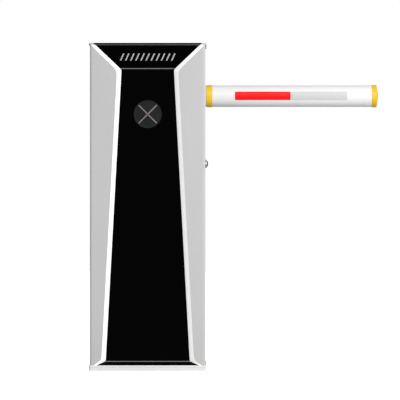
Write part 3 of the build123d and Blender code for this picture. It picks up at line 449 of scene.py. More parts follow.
def mixed_colour(tree, mask, first, second, ceiling=1.0):
    """Colour between two by a mask scaled to a ceiling; returns the colour socket."""
    mix = tree.nodes.new("ShaderNodeMix")
    mix.data_type = "RGBA"
    ends = [socket for socket in mix.inputs if socket.type == "RGBA"]
    for socket, value in zip(ends, (first, second)):
        if hasattr(value, "links"):
            tree.links.new(value, socket)
        else:
            socket.default_value = (*value, 1)
    tree.links.new(arithmetic(tree, "MULTIPLY", mask, ceiling), mix.inputs["Factor"])
    return [socket for socket in mix.outputs if socket.type == "RGBA"][0]


def bumped(tree, height, strength, distance):
    """Bump node fed by a height; returns its normal."""
    bump = add_node(tree, "ShaderNodeBump", Strength=strength, Distance=distance)
    tree.links.new(height, bump.inputs["Height"])
    return bump.outputs["Normal"]


def spread(tree, mask, middle, width):
    """Values spread about a middle by a mask that runs from 0 to 1."""
    centred = arithmetic(tree, "SUBTRACT", mask, 0.5)
    return arithmetic(tree, "ADD", arithmetic(tree, "MULTIPLY", centred, width), middle)


def new_material(name, **settings):
    """Material whose constant settings stand on its shader's own sockets; returns it and its tree."""
    material = bpy.data.materials.new(name)
    material.use_nodes = True
    set_inputs(material.node_tree.nodes[SHADER], settings)
    return material, material.node_tree


def shaded(colour, factor, lift=0.0):
    """Colour times a factor, plus a lift, at most 1."""
    return tuple(min(1.0, factor * c + lift) for c in colour)


def connect(material, **sockets):
    """Link outputs to the inputs of a material's shader, by name with _ for a space; returns it."""
    tree = material.node_tree
    for title, socket in sockets.items():
        tree.links.new(socket, tree.nodes[SHADER].inputs[title.replace("_", " ")])
    return material


def painted(name, colour, roughness, peel=0.05, patches=0.12, dust=0.25, **settings):
    """Powder-coated metal: orange peel, patchy sheen and a little dust near the ground."""
    material, tree = new_material(name, **settings)
    powder = use_group(tree, "powder_coat")
    mask = use_group(tree, "ground_dust", Amount=dust)
    tone = mixed_colour(tree, powder.outputs["Patches"], shaded(colour, 0.93), colour)
    return connect(
        material, Base_Color=mixed_colour(tree, mask.outputs["Mask"], tone, DUST),
        Roughness=spread(tree, powder.outputs["Patches"], roughness, patches),
        Normal=bumped(tree, powder.outputs["Height"], peel, 0.4 * MM))


def strip_paint_with_painted_light(name, colour):
    """Powder coat of the bevel strips, with painted light: a slight emission on their front faces only,
    which brightens them though they are no lamp.
    """
    material = painted(name, colour, 0.3, dust=0.04, Emission_Strength=STRIP_PAINTED_LIGHT)
    tree = material.node_tree
    front = use_group(tree, "front_faces")
    painted_light = mixed_colour(tree, front.outputs["Mask"], (0, 0, 0), (1, 1, 1))
    return connect(material, Emission_Color=painted_light)


def machined(name, colour, roughness, marks, scale):
    """Bare or plated metal with tool marks from one of the brushed groups."""
    material, tree = new_material(name, Metallic=1.0)
    group = use_group(tree, marks, Scale=scale)
    tone = mixed_colour(tree, group.outputs["Shade"], shaded(colour, 0.72), colour)
    return connect(
        material, Base_Color=tone, Roughness=spread(tree, group.outputs["Height"], roughness, 0.25),
        Normal=bumped(tree, group.outputs["Height"], 0.12, 0.15 * MM))


def moulded(name, colour, roughness, grain=0.12, scale=900.0, **settings):
    """Moulded plastic or rubber: fine spark-eroded grain and faint flow patches."""
    material, tree = new_material(name, **settings)
    powder = use_group(tree, "powder_coat", Peel_Scale=scale, Patch_Scale=30.0)
    tone = mixed_colour(tree, powder.outputs["Patches"], colour, shaded(colour, 1.12, 0.002))
    return connect(
        material, Base_Color=tone, Roughness=spread(tree, powder.outputs["Patches"], roughness, 0.16),
        Normal=bumped(tree, powder.outputs["Height"], grain, 0.2 * MM))


def cast(name, colour, roughness):
    """Painted or bare casting with a grainy, pitted skin."""
    material, tree = new_material(name, Metallic=0.35)
    group = use_group(tree, "cast_skin")
    tone = mixed_colour(tree, group.outputs["Shade"], shaded(colour, 0.6), colour)
    return connect(
        material, Base_Color=tone, Roughness=spread(tree, group.outputs["Shade"], roughness, 0.2),
        Normal=bumped(tree, group.outputs["Height"], 0.35, 0.4 * MM))


def film(name, colour, rib_colour):
    """Reflective film: cells of the film's colour with paler ribs, under a clear coat."""
    material, tree = new_material(name, Coat_Weight=0.05, Coat_Roughness=0.1, Specular_IOR_Level=0.12)
    cells = use_group(tree, "film_cells")
    ribs = arithmetic(tree, "LESS_THAN", cells.outputs["Ribs"], 0.09)
    sparkle = arithmetic(tree, "MULTIPLY", cells.outputs["Sparkle"], 0.5)
    tone = mixed_colour(tree, sparkle, colour, shaded(colour, 0.8))
    return connect(
        material, Base_Color=mixed_colour(tree, ribs, tone, rib_colour, 0.35),
        Roughness=spread(tree, cells.outputs["Sparkle"], 0.35, 0.2),
        Normal=bumped(tree, cells.outputs["Ribs"], 0.2, 0.1 * MM))


def circuit(name, colour):
    """Circuit board: lacquer over faint copper tracks that run along Y and Z."""
    material, tree = new_material(name, Coat_Weight=0.4, Coat_Roughness=0.15)
    upright = mapped(tree, Rotation=(0, np.pi / 2, 0))
    bricks = texture(tree, "Brick", upright, Scale=60.0, Mortar_Size=0.03)
    track = shaded(colour, 1.8, 0.01)
    return connect(
        material, Base_Color=mixed_colour(tree, bricks.outputs["Fac"], colour, track),
        Roughness=spread(tree, bricks.outputs["Fac"], 0.35, 0.2))


def laminated(name, colour):
    """Transformer core: a stack of thin sheets, seen as fine dark lines across X."""
    material, tree = new_material(name, Metallic=0.8)
    wave = texture(tree, "Wave", Scale=160.0, Distortion=0.4)
    return connect(
        material, Base_Color=mixed_colour(tree, wave.outputs["Fac"], shaded(colour, 0.4), colour),
        Roughness=spread(tree, wave.outputs["Fac"], 0.45, 0.2),
        Normal=bumped(tree, wave.outputs["Fac"], 0.3, 0.3 * MM))


def finish_makers(colours):
    """What makes each material slot's finish, by slot name."""
    return {
        "case_silver": lambda n: painted(n, colours.case, 0.42, Metallic=0.0, Specular_IOR_Level=0.35),
        "base_grey": lambda n: painted(n, colours.base, 0.45, dust=0.2),
        # bevel strips: powder coat brightened by painted light, an emission on their front faces
        "bevel_white": lambda n: strip_paint_with_painted_light(n, colours.bevel),
        "gloss_black": lambda n: painted(
            n, colours.panel, 0.16, peel=0.008, patches=0.05, dust=0.004, Specular_IOR_Level=0.02),
        # seams: painted highlight, a mid grey in place of the light that the seams and the lid edge catch
        "seam_bright": lambda n: painted(n, (0.13, 0.13, 0.13), 0.4, dust=0.05),
        "smoked_lens": lambda n: moulded(n, (0.012, 0.013, 0.013), 0.3, 0.02, Specular_IOR_Level=0.08),
        "signal_light": lambda n: moulded(n, colours.signal, 0.35, 0.05, Specular_IOR_Level=0.2),
        "visor_mark": lambda n: painted(n, (0.42, 0.42, 0.42), 0.4, dust=0.0),
        "rubber": lambda n: moulded(n, (0.018, 0.018, 0.018), 0.75, 0.25, 500.0),
        "black_plastic": lambda n: moulded(n, (0.012, 0.012, 0.013), 0.5, Specular_IOR_Level=0.25),
        "frame_steel": lambda n: painted(n, (0.13, 0.15, 0.17), 0.45, dust=0.15),
        "motor_grey": lambda n: painted(n, (0.07, 0.13, 0.21), 0.4, dust=0.1),
        "holder_grey": lambda n: painted(n, colours.holder, 0.4, dust=0.0),
        "boom_white": lambda n: painted(n, colours.boom, 0.3, peel=0.03, dust=0.0),
        "boom_yellow": lambda n: moulded(n, colours.caps, 0.38, 0.04, 700.0, Specular_IOR_Level=0.25),
        "reflector_red": lambda n: film(n, colours.red, (1.0, 0.05, 0.05)),
        "reflector_silver": lambda n: film(n, colours.silver, (0.95, 0.95, 0.95)),
        "circuit_board": lambda n: circuit(n, (0.02, 0.11, 0.05)),
        "cast_iron": lambda n: cast(n, (0.2, 0.21, 0.22), 0.6),
        "transformer_steel": lambda n: laminated(n, (0.36, 0.33, 0.28)),
        "bright_steel": lambda n: machined(n, (0.56, 0.56, 0.57), 0.32, "marks_across", 40.0),
        "zinc": lambda n: machined(n, (0.5, 0.5, 0.49), 0.42, "marks_up", 25.0),
        "spring_steel": lambda n: machined(n, (0.3, 0.3, 0.31), 0.4, "marks_across", 60.0),
        "brass": lambda n: machined(n, (0.75, 0.55, 0.22), 0.35, "marks_across", 60.0),
        "relay_blue": lambda n: moulded(n, (0.02, 0.08, 0.32), 0.35),
        "terminal_green": lambda n: moulded(n, (0.03, 0.3, 0.09), 0.4),
    }


SLOT_OF_LOOK = {
    "visor_mark": "seam_bright",
    "brass": "bright_steel",
    "relay_blue": "black_plastic",
    "terminal_green": "circuit_board",
}


def finish(name):
    """The finish of a slot or look, made on first use."""
    title = f"{name}_finish"
    material = bpy.data.materials.get(title)
    if material is None:
        material = finish_makers(bpy.context.scene.barrier_colours)[name](title)
    return material


def add_looked(name, shape, body, look):
    """Piece built with the nearest record slot's finish, which the finish of its own look then replaces."""
    piece = add_piece(name, shape, body, SLOT_OF_LOOK.get(look, look))
    piece.data.materials[0] = finish(look)
    return piece


# ---- settings ----
def colour_setting(title, default):
    """Colour property in linear light."""
    return bpy.props.FloatVectorProperty(
        name=title, description=f"Linear colour of the {title.lower()}", subtype="COLOR",
        size=3, min=0.0, max=1.0, default=default)


def length_setting(title, default):
    """Length property."""
    return bpy.props.FloatProperty(
        name=title, description=f"{title} in metres", default=default, unit="LENGTH", precision=4)


class BarrierColours(bpy.types.PropertyGroup):
    """Colours a user would change."""

    case: colour_setting("Case", (0.51, 0.51, 0.51))
    base: colour_setting("Base", (0.79, 0.79, 0.79))
    bevel: colour_setting("Bevel strips", (0.66, 0.66, 0.66))
    panel: colour_setting("Front panel", (0.0008, 0.0008, 0.0008))
    signal: colour_setting("Signal cross", (0.2, 0.155, 0.16))
    boom: colour_setting("Boom", (0.8, 0.8, 0.8))
    caps: colour_setting("Boom ends", (0.72, 0.46, 0.016))
    holder: colour_setting("Boom holder", (0.8, 0.8, 0.8))
    red: colour_setting("Red reflector", (0.88, 0.0035, 0.0035))
    silver: colour_setting("Silver reflector", (0.56, 0.56, 0.56))


class BarrierSizes(bpy.types.PropertyGroup):
    """Sizes a user would change."""

    wire: length_setting("Spring wire radius", 2.1 * MM)
    coil: length_setting("Spring coil radius", 11 * MM)
    turns: bpy.props.IntProperty(
        name="Spring turns", description="Turns of the balance spring", default=44, min=4)
    bars: bpy.props.IntProperty(
        name="Visor bars", description="Slanted bars on the visor", default=11, min=1)
    bar_height: length_setting("Visor bar height", 22 * MM)


# ---- operators ----
class BARRIER_OT_stage(bpy.types.Operator):
    """Pale floor, soft lights and the camera."""

    bl_idname = "barrier.stage"
    bl_label = "Stage"

    def lamp(self, kind, name, place, **settings):
        """Light of a kind at a place, aimed at the middle of the object."""
        data = bpy.data.lights.new(name, kind)
        for title, value in settings.items():
            setattr(data, title, value)
        lamp = new_object(name, data)
        lamp.location = place
        aim = Vector(LIGHTS_AIM) - Vector(place)
        lamp.rotation_euler = aim.to_track_quat("-Z", "Y").to_euler()

    def execute(self, context):
        scene = context.scene
        camera_data = bpy.data.cameras.new("camera")
        camera_data.sensor_width = 36
        camera_data.lens = 300
        camera_data.clip_end = 100
        camera = new_object("camera", camera_data)
        camera.location = (CAMERA_X, CASE_FRONT - CAMERA_AWAY, CAMERA_Z)
        camera.rotation_euler = (np.pi / 2, 0, 0)
        scene.camera = camera

        corner = np.array([[-1, -1], [1, -1], [1, 1], [-1, 1]]) * FLOOR_HALF
        mesh = bpy.data.meshes.new("floor")
        mesh.from_pydata(np.column_stack([corner, np.zeros(4)]).tolist(), [], [[0, 1, 2, 3]])
        floor = new_object("floor", mesh)
        material, tree = new_material(
            "floor", Roughness=0.9, Specular_IOR_Level=0.0, Emission_Color=(1, 1, 1, 1))
        grain = add_node(tree, "ShaderNodeTexNoise", Scale=3.0)
        connect(
            material, Emission_Strength=arithmetic(tree, "MULTIPLY", camera_ray(tree), FLOOR_LIFT),
            Base_Color=mixed_colour(tree, grain.outputs["Fac"], (0.5, 0.5, 0.5), (0.52, 0.52, 0.52)))
        mesh.materials.append(material)

        world = bpy.data.worlds.new("studio")
        scene.world = world
        world.use_nodes = True
        sky = world.node_tree
        background = set_inputs(sky.nodes["Background"], {"Color": (1, 1, 1, 1)})
        seen = camera_ray(sky)
        slope = arithmetic(sky, "MULTIPLY", axes_of(sky, place_on(sky, "Generated"))["X"], SIDE_SHADE)
        soft = arithmetic(sky, "ADD", slope, AMBIENT)
        unseen = arithmetic(sky, "MULTIPLY", soft, arithmetic(sky, "SUBTRACT", 1.0, seen))
        sky.links.new(arithmetic(sky, "ADD", unseen, seen), background.inputs["Strength"])
        scene.view_settings.view_transform = "Standard"

        self.lamp("SUN", "key", (1.5, -4.2, 2.6), energy=1.6, angle=0.7)
        self.lamp("SUN", "fill", (-3.4, -2.6, 0.9), energy=0.15, angle=0.9)
        self.lamp("SUN", "back", (-2.0, 4.0, 1.6), energy=0.7, angle=0.9)
        self.lamp("AREA", "side", (1.2, -1.2, 0.9), energy=12, size=1.2)
        return {"FINISHED"}


class BARRIER_OT_columns(bpy.types.Operator):
    """Silver front columns, folded round the case corners."""

    bl_idname = "barrier.columns"
    bl_label = "Columns"

    def column(self, side):
        """Folded sheet whose section runs from the inner edge, round the corner bend, to the side wall.

        At height z the outer line is (edge(z), front), the bend (side - r + r sin a, front + r - r cos a)
        and the end of the side wall; the inner line is the same, one sheet thickness inside.
        """
        z = edge_levels()[:, None]
        bend = CORNER_BEND
        back = high("right_column")[1]
        angle = np.linspace(0, np.pi / 2, 12)[None, :]
        share = np.linspace(0, 1, 10)[None, :]
        rings = []
        for inside in (0, SHEET):
            radius = bend - inside
            x_front = column_edge(z) * (1 - share) + (CASE_SIDE - bend) * share
            front = np.stack([x_front, np.full_like(x_front, CASE_FRONT + inside)], -1)
            x_bend = CASE_SIDE - bend + radius * np.sin(angle) + 0 * z
            y_bend = CASE_FRONT + bend - radius * np.cos(angle) + 0 * z
            wall = np.full_like(z, CASE_SIDE - inside)
            line = np.concatenate(
                [front, np.stack([x_bend, y_bend], -1), np.stack([wall, np.full_like(z, back)], -1)], 1)
            rings.append(line if inside == 0 else line[:, ::-1])
        section = np.concatenate(rings, 1)
        height = np.broadcast_to(z[:, :, None], section.shape[:2] + (1,))
        solid = np.concatenate([section, height], -1)
        solid[..., 0] *= side
        return skin(solid)

    def execute(self, context):
        for name, side in (("left_column", -1), ("right_column", 1)):
            add_piece(f"{name}_sheet", self.column(side), "cabinet", "case_silver", (name,), 35)
        return {"FINISHED"}


class BARRIER_OT_bevels(bpy.types.Operator):
    """White bevel strips between the columns and the black panel."""

    bl_idname = "barrier.bevels"
    bl_label = "Bevel strips"

    def strip(self, side):
        """Sloping strip from the panel's edge to the column's edge, slightly crowned, with a flat back.

        At height z its front runs from (panel, depth) to (column, front) with a crown of
        c sin(pi s) across it; the back is the same line one sheet thickness behind.
        """
        z = edge_levels()[:, None]
        share = np.linspace(0, 1, 9)[None, :]
        x = panel_edge(z) * (1 - share) + column_edge(z) * share
        y = panel_depth(z) * (1 - share) + CASE_FRONT * share
        crown = 0.5 * MM * np.sin(np.pi * share)
        front = np.stack([x, y - crown, np.broadcast_to(z, x.shape)], -1)
        back = np.stack([x, y + SHEET, np.broadcast_to(z, x.shape)], -1)[:, ::-1]
        solid = np.concatenate([front, back], 1)
        solid[..., 0] *= side
        return skin(solid)

    def execute(self, context):
        for name, side in (("bevel_trim_left", -1), ("bevel_trim_right", 1)):
            add_piece(f"{name}_strip", self.strip(side), "cabinet", "bevel_white", (name,), 35)
        return {"FINISHED"}


class BARRIER_OT_lid_edge(bpy.types.Operator):
    """Black strip on the lid's front edge, which carries the visor up to the top, over a painted highlight:
    a thin grey line that stands in for the light along the edge.
    """

    bl_idname = "barrier.lid_edge"
    bl_label = "Lid edge"

    def execute(self, context):
        front, bottom, top = low("lid")[1], CASE_TOP, high("lid")[2]
        strips = []
        # the first strip is the black one; the second is the painted highlight, a thin grey line in place
        # of the light along the edge
        for z0, z1, proud in ((bottom, top, 0.5 * MM), (bottom - 1.6 * MM, bottom - 0.1 * MM, 0.6 * MM)):
            outline = soft_corners(
                [(-panel_edge(z0), z0), (panel_edge(z0), z0), (panel_edge(z1), z1), (-panel_edge(z1), z1)],
                0.3 * MM)
            strips.append(plate(outline, (0, front, 0), (1, 0, 0), (0, 0, 1), proud, 0.1 * MM))
        add_piece("lid_edge_strip", strips[0], "cabinet", "gloss_black")
        add_piece("lid_edge_painted_highlight", strips[1], "cabinet", "seam_bright")
        return {"FINISHED"}


class BARRIER_OT_visor_marks(bpy.types.Operator):
    """Plain row of slanted bars on the leaning visor."""

    bl_idname = "barrier.visor_marks"
    bl_label = "Visor bars"

    def execute(self, context):
        sizes = context.scene.barrier_sizes
        middle_z = (low("top_visor")[2] + high("top_visor")[2]) / 2 - 2 * MM
        lean = unit((0, CASE_FRONT - PANEL_Y, CASE_TOP - FOLD_HIGH))
        pitch = 15.6 * MM
        slant = 0.45 * sizes.bar_height
        half = sizes.bar_height / 2
        width = 2.2 * MM
        origin = np.array([0, panel_depth(middle_z), middle_z])
        bars = []
        for number in range(sizes.bars):
            x = (number - (sizes.bars - 1) / 2) * pitch
            outline = soft_corners(
                [(x - width - slant / 2, -half), (x + width - slant / 2, -half),
                 (x + width + slant / 2, half), (x - width + slant / 2, half)], 1 * MM)
            bars.append(plate(outline, origin, (1, 0, 0), lean, 0.5 * MM, 0.12 * MM))
        add_looked("visor_bars", joined(*bars), "cabinet", "visor_mark")
        return {"FINISHED"}


class BARRIER_OT_signal(bpy.types.Operator):
    """Smoked lens, whose dome stands 1.1 mm times cos(90 degrees s) proud at share s of its radius, and
    the cross-shaped light guide."""

    bl_idname = "barrier.signal"
    bl_label = "Signal"

    def execute(self, context):
        middle = centre("signal_lens")
        radius = span("signal_lens")[2] / 2
        back = high("signal_lens")[1] - PANEL_Y
        share = np.linspace(0, 1, 16)
        dome = np.column_stack([-1.1 * MM * np.cos(share * np.pi / 2), 0.9 * radius * share])
        rim = [(-0.2 * MM, 0.93 * radius), (-0.5 * MM, 0.97 * radius), (-0.3 * MM, radius),
               (0, radius), (0, radius - 1.8 * MM), (back, radius - 1.8 * MM), (back, 0)]
        profile = np.concatenate([dome[:-1], rim])
        origin = (middle[0], PANEL_Y, middle[2])
        add_piece("signal_lens_dome", turned(profile, origin, (0, 1, 0)), "cabinet", "smoked_lens",
                  ("signal_lens",), 30)
        width = 3.6 * MM
        arm = span("signal_cross")[2] / np.sqrt(2) - width / 2
        start = np.array([middle[0], PANEL_Y - 0.6 * MM, middle[2]])
        outline = soft_corners(
            [(-arm, -width / 2), (arm, -width / 2), (arm, width / 2), (-arm, width / 2)], 1.8 * MM)
        bars = [
            plate(outline, start, unit(u), unit(v), 1.2 * MM, 0.4 * MM)
            for u, v in (((1, 0, 1), (-1, 0, 1)), ((1, 0, -1), (1, 0, 1)))]
        add_piece("signal_cross_guide", joined(*bars), "cabinet", "signal_light", ("signal_cross",))
        return {"FINISHED"}


class BARRIER_OT_boom(bpy.types.Operator):
    """Boom tube with its yellow root collar and end cap, whose face falls by crown s^1.35 at share s of
    its radius."""

    bl_idname = "barrier.boom"
    bl_label = "Boom"

    def execute(self, context):
        axis_point = centre("boom_tube") * [0, 1, 1]
        radius = span("boom_tube")[2] / 2
        outer = span("boom_collar")[2] / 2
        x0, x1 = low("boom_tube")[0], high("boom_tube")[0]
        bore = radius - TUBE_WALL
        tube_wall = soft_corners([(x0, bore), (x1, bore), (x1, radius), (x0, radius)], 0.5 * MM)
        c0, c1 = low("boom_collar")[0], high("boom_collar")[0]
        collar = soft_corners(
            [(c0, bore), (c0, outer), (c1, outer), (c1, radius), (x0, radius), (x0, bore)], 1.2 * MM)
        e0, e1 = low("boom_end_cap")[0], high("boom_end_cap")[0]
        crown = 5 * MM
        share = np.linspace(0.985, 0, 24)
        dome = np.column_stack([e1 - crown * share**1.35, outer * share])
        shell = np.concatenate([
            [(x1, radius), (e0, radius), (e0, outer - 0.5 * MM), (e0 + 0.5 * MM, outer),
             (e1 - crown - 0.6 * MM, outer)],
            dome, [(x1, 0)]])
        for name, profile, slot, node in (
                ("boom_tube_wall", tube_wall, "boom_white", "boom_tube"),
                ("boom_root_collar", collar, "boom_yellow", "boom_collar"),
                ("boom_end_dome", shell, "boom_yellow", "boom_end_cap")):
            add_piece(name, turned(profile, axis_point, (1, 0, 0), 128), "boom", slot, (node,), 30)
        return {"FINISHED"}


class BARRIER_OT_reflectors(bpy.types.Operator):
    """Red and silver reflective film on both sides of the boom."""

    bl_idname = "barrier.reflectors"
    bl_label = "Reflectors"

    def band(self, node, facing):
        """Curved plate: angle a across, x along, at radius r, of even thickness and a little narrower near
        both ends.

        A point is (x, y0 + f r cos a, z0 + r sin a), where f is -1 towards the front and 1 towards
        the back.
        """
        middle = centre("boom_tube")
        tube_r = span("boom_tube")[2] / 2
        top = tube_r + FILM
        half = np.arcsin(span(node)[2] / 2 / top)
        x = np.linspace(low(node)[0], high(node)[0], 60)[:, None]
        angle = np.linspace(-half, half, 25)[None, :]
        corner = 3 * MM
        into = np.minimum(x - x[0], x[-1] - x) / corner
        shrink = 1 - 0.12 * np.maximum(0, 1 - into) ** 2
        angle = angle * shrink
        faces = []
        for radius in (top, tube_r - 0.1 * MM):
            faces.append(np.stack([
                np.broadcast_to(x, angle.shape), middle[1] + facing * radius * np.cos(angle),
                middle[2] + radius * np.sin(angle)], -1))
        return skin(np.concatenate([faces[0], faces[1][:, ::-1]], 1))

    def execute(self, context):
        for node, slot in (("reflector_red", "reflector_red"), ("reflector_white", "reflector_silver")):
            shapes = [self.band(node, facing) for facing in (-1, 1)]
            add_piece(f"{slot}_film", joined(*shapes), "boom", slot, (node,), 50)
        return {"FINISHED"}


class BARRIER_OT_spring(bpy.types.Operator):
    """Balance spring: a wound wire with a loop at each end, which shortens as the boom rises."""

    bl_idname = "barrier.spring"
    bl_label = "Balance spring"

    def execute(self, context):
        sizes = context.scene.barrier_sizes
        x, y = centre("balance_spring")[:2]
        loop = 8.7 * MM
        wire_half = 2.2 * MM  # of the spring in the frame
        lead = 4 * MM  # between a loop and the coil
        rise = SPRING_LEVER * np.sin(np.pi / 4)  # of the lever's end above the shaft, at rest
        hook_low = low("balance_spring")[2] + loop + wire_half
        hook_high = centre("boom_tube")[2] + rise
        coil_low = hook_low + loop + lead
        coil_high = high("balance_spring")[2] - 3 * loop - lead
        points_per_turn = 24
        turn = np.linspace(0, 1, points_per_turn * sizes.turns)
        angle = TURN * sizes.turns * turn
        coil = np.column_stack([
            x + sizes.coil * np.cos(angle), y + sizes.coil * np.sin(angle),
            coil_low + (coil_high - coil_low) * turn])
        shapes = [tube(coil, sizes.wire, (0, 0, 1))]
        steps = 48
        swing = np.radians(np.linspace(-20, 285, steps))
        for hook, end, way in ((hook_high, coil_high, 1), (hook_low, coil_low, -1)):
            ring = np.column_stack([
                x + loop * np.cos(swing), np.full(steps, y), hook + way * loop * np.sin(swing)])
            start = np.array([x + sizes.coil, y, end])
            leg = start + (ring[0] - start) * np.linspace(0, 1, 6)[:-1, None]
            shapes.append(tube(np.concatenate([leg, ring]), sizes.wire, (0, 1, 0)))
        spring = add_piece("balance_spring_wire", joined(*shapes), "cabinet", "spring_steel",
                           ("balance_spring",), 60)
        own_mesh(spring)
        return {"FINISHED"}


class BARRIER_OT_lock(bpy.types.Operator):
    """Door lock: rounded bezel, and a turning face with a finger bar."""

    bl_idname = "barrier.lock"
    bl_label = "Lock"

    def execute(self, context):
        middle = centre("lock_bezel")
        face = low("lock_bezel")[0]
        depth = span("lock_bezel")[0]
        outer = span("lock_bezel")[2] / 2
        hole, plug = 9.9 * MM, 9.45 * MM
        ring = soft_corners(
            [(0, outer), (0, hole), (0.75 * depth, hole), (depth, 11 * MM), (depth, outer - 1.2 * MM),
             (0.4 * depth, outer)], 0.8 * MM)
        origin = (face, middle[1], middle[2])
        add_piece("lock_ring", turned(ring, origin, (1, 0, 0), 64), "door", "zinc", ("lock_bezel",), 30)
        back = low("lock_knob")[0] - face
        front = 0.8 * depth
        barrel = soft_corners([(back, 0), (back, plug), (front, plug), (front, 0)], 0.6 * MM)
        wide, tall = 2.4 * MM, 8 * MM
        grip = soft_corners([(-wide, -tall), (wide, -tall), (wide, tall), (-wide, tall)], 2.2 * MM)
        bar = plate(grip, (face + front, middle[1], middle[2]), (0, 1, 0), (0, 0, 1), 4.4 * MM, 1.2 * MM)
        barrel_shape = turned(barrel, origin, (1, 0, 0), 64)
        add_piece("lock_turn_bar", joined(barrel_shape, bar), "lock", "black_plastic", ("lock_knob",), 30)
        return {"FINISHED"}


class BARRIER_OT_door_seal(bpy.types.Operator):
    """Rubber seal on the inner face of the door's sheet, behind its folded lips: a rib along the border."""

    bl_idname = "barrier.door_seal"
    bl_label = "Door seal"

    def execute(self, context):
        start, end = low("service_door"), high("service_door")
        border, hinge_border = 9 * MM, 30 * MM
        proud, half_depth, half_width = 2.3 * MM, 2.6 * MM, 1.8 * MM
        sheet = start[0] + DOOR_LIP
        corners = [
            (start[1] + hinge_border, start[2] + border), (end[1] - border, start[2] + border),
            (end[1] - border, end[2] - border), (start[1] + hinge_border, end[2] - border)]
        path = soft_corners(corners, 8 * MM, 9)
        outward = unit(path - inset(path, 1 * MM))
        angle = np.linspace(0, TURN, 12, endpoint=False)[None, :]
        depth = sheet - proud + half_depth * np.sin(angle) + 0 * path[:, :1]
        across = path[:, None] + half_width * np.cos(angle)[..., None] * outward[:, None]
        rings = np.concatenate([depth[..., None], across], axis=-1)
        add_piece("door_seal", skin(rings, path_closed=True), "door", "rubber")
        return {"FINISHED"}


class BARRIER_OT_controls(bpy.types.Operator):
    """Terminals, relays, capacitors and chips on the control board."""

    bl_idname = "barrier.controls"
    bl_label = "Control board parts"

    def execute(self, context):
        face = high("control_board")[0] - BOARD_PARTS
        row_z = low("control_board")[2] + 18 * MM
        terminals = []
        screws = []
        head = soft_corners([(0, 0), (0, 2.4 * MM), (1.2 * MM, 2.4 * MM), (1.2 * MM, 0)], 0.4 * MM)
        for number in range(14):
            y = (number - 6.5) * 10 * MM
            terminals.append(block((face + 8 * MM, y, row_z), (8 * MM, 4.7 * MM, 9 * MM), 0.15))
            screws.append(turned(head, (face + 15.6 * MM, y, row_z), (1, 0, 0), 20))
        add_looked("board_terminals", joined(*terminals), "cabinet", "terminal_green")
        add_looked("board_terminal_screws", joined(*screws), "cabinet", "brass")
        relay_z = 0.252
        relays = [block((face + 11 * MM, y * MM, relay_z), (10.5 * MM, 9.4 * MM, 15.4 * MM), 0.12)
                  for y in (10, 36, 62)]
        add_looked("board_relays", joined(*relays), "cabinet", "relay_blue")
        drum = soft_corners([(0, 0), (0, 6 * MM), (19 * MM, 6 * MM), (19 * MM, 0)], 1 * MM)
        cans = [turned(drum, (face, y * MM, z * MM), (1, 0, 0), 32)
                for y, z in ((-70, 200), (-54, 200), (-70, 218))]
        add_piece("board_capacitors", joined(*cans), "cabinet", "black_plastic")
        chips = [block((face + 2 * MM, y * MM, z * MM), (2 * MM, 9 * MM, 5 * MM), 0.12)
                 for y, z in ((-20, 195), (12, 195), (44, 195), (12, 170), (44, 170))]
        add_piece("board_chips", joined(*chips), "cabinet", "black_plastic")
        return {"FINISHED"}


class BARRIER_OT_drive(bpy.types.Operator):
    """Corner screws and round cover on the gearbox's front face."""

    bl_idname = "barrier.drive"
    bl_label = "Drive details"

    def execute(self, context):
        face = low("gearbox")[1]
        start = low("gearbox") + 9 * MM
        end = high("gearbox") - 9 * MM
        corners = [(x, z) for x in (start[0], end[0]) for z in (start[2], end[2])]
        head = soft_corners([(0, 0), (0, 4 * MM), (-3.4 * MM, 4 * MM), (-3.4 * MM, 2 * MM),
                             (-1.4 * MM, 2 * MM), (-1.4 * MM, 0)], 0.3 * MM)
        screws = [turned(head, (x, face, z), (0, 1, 0), 24) for x, z in corners]
        add_piece("gearbox_screws", joined(*screws), "cabinet", "zinc")
        cover = np.array([centre("gearbox")[0], face, centre("gearbox")[2]])
        lip = soft_corners([(0, 0), (0, 25 * MM), (-2.5 * MM, 25 * MM), (-2.5 * MM, 21 * MM),
                            (-1.2 * MM, 20 * MM), (-1.2 * MM, 0)], 0.6 * MM)
        add_piece("gearbox_cover", turned(lip, cover, (0, 1, 0), 72), "cabinet", "cast_iron")
        return {"FINISHED"}


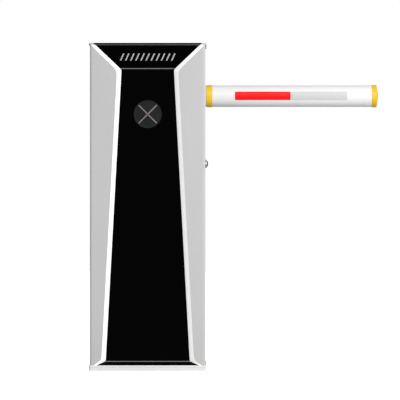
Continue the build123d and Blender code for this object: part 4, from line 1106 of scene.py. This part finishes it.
class BARRIER_OT_frame_finish(bpy.types.Operator):
    """Finish of every CAD node that shows as it is."""

    bl_idname = "barrier.frame_finish"
    bl_label = "Frame finish"

    def execute(self, context):
        slots = {part["node"]: part["material_slot"] for part in frame["record"]["subparts"]}
        for node, item in frame["nodes"].items():
            for place in item.material_slots:
                place.material = finish(slots[node])
        return {"FINISHED"}


class BARRIER_PT_panel(bpy.types.Panel):
    """Sidebar list of the build steps and settings."""

    bl_idname = "BARRIER_PT_panel"
    bl_label = "Parking barrier gate"
    bl_space_type = "VIEW_3D"
    bl_region_type = "UI"
    bl_category = "Barrier"

    def draw(self, context):
        for step in STEPS:
            self.layout.operator(step.bl_idname)
        for group in (context.scene.barrier_colours, context.scene.barrier_sizes):
            for setting in group.bl_rna.properties.keys():
                if setting not in ("rna_type", "name"):
                    self.layout.prop(group, setting)


STEPS = (
    BARRIER_OT_stage,
    BARRIER_OT_columns,
    BARRIER_OT_bevels,
    BARRIER_OT_lid_edge,
    BARRIER_OT_visor_marks,
    BARRIER_OT_signal,
    BARRIER_OT_boom,
    BARRIER_OT_reflectors,
    BARRIER_OT_spring,
    BARRIER_OT_lock,
    BARRIER_OT_door_seal,
    BARRIER_OT_controls,
    BARRIER_OT_drive,
    BARRIER_OT_frame_finish,
)
SETTINGS = (BarrierColours, BarrierSizes)


def register():
    """Register the settings, steps and panel."""
    for item in SETTINGS + STEPS + (BARRIER_PT_panel,):
        bpy.utils.register_class(item)
    bpy.types.Scene.barrier_colours = bpy.props.PointerProperty(type=BarrierColours)
    bpy.types.Scene.barrier_sizes = bpy.props.PointerProperty(type=BarrierSizes)


def unregister():
    """Take everything out again."""
    del bpy.types.Scene.barrier_colours
    del bpy.types.Scene.barrier_sizes
    for item in reversed(SETTINGS + STEPS + (BARRIER_PT_panel,)):
        bpy.utils.unregister_class(item)


def make_groups():
    """Node groups that the finishes share."""
    powder_group()
    dust_group()
    brushed_group("marks_across", (6, 1, 6))
    brushed_group("marks_up", (8, 8, 0.4))
    cast_group()
    film_group()
    front_group()


def main():
    """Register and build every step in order."""
    register()
    make_groups()
    for step in STEPS:
        area, name = step.bl_idname.split(".")
        getattr(getattr(bpy.ops, area), name)()


if __name__ == "__main__":
    main()
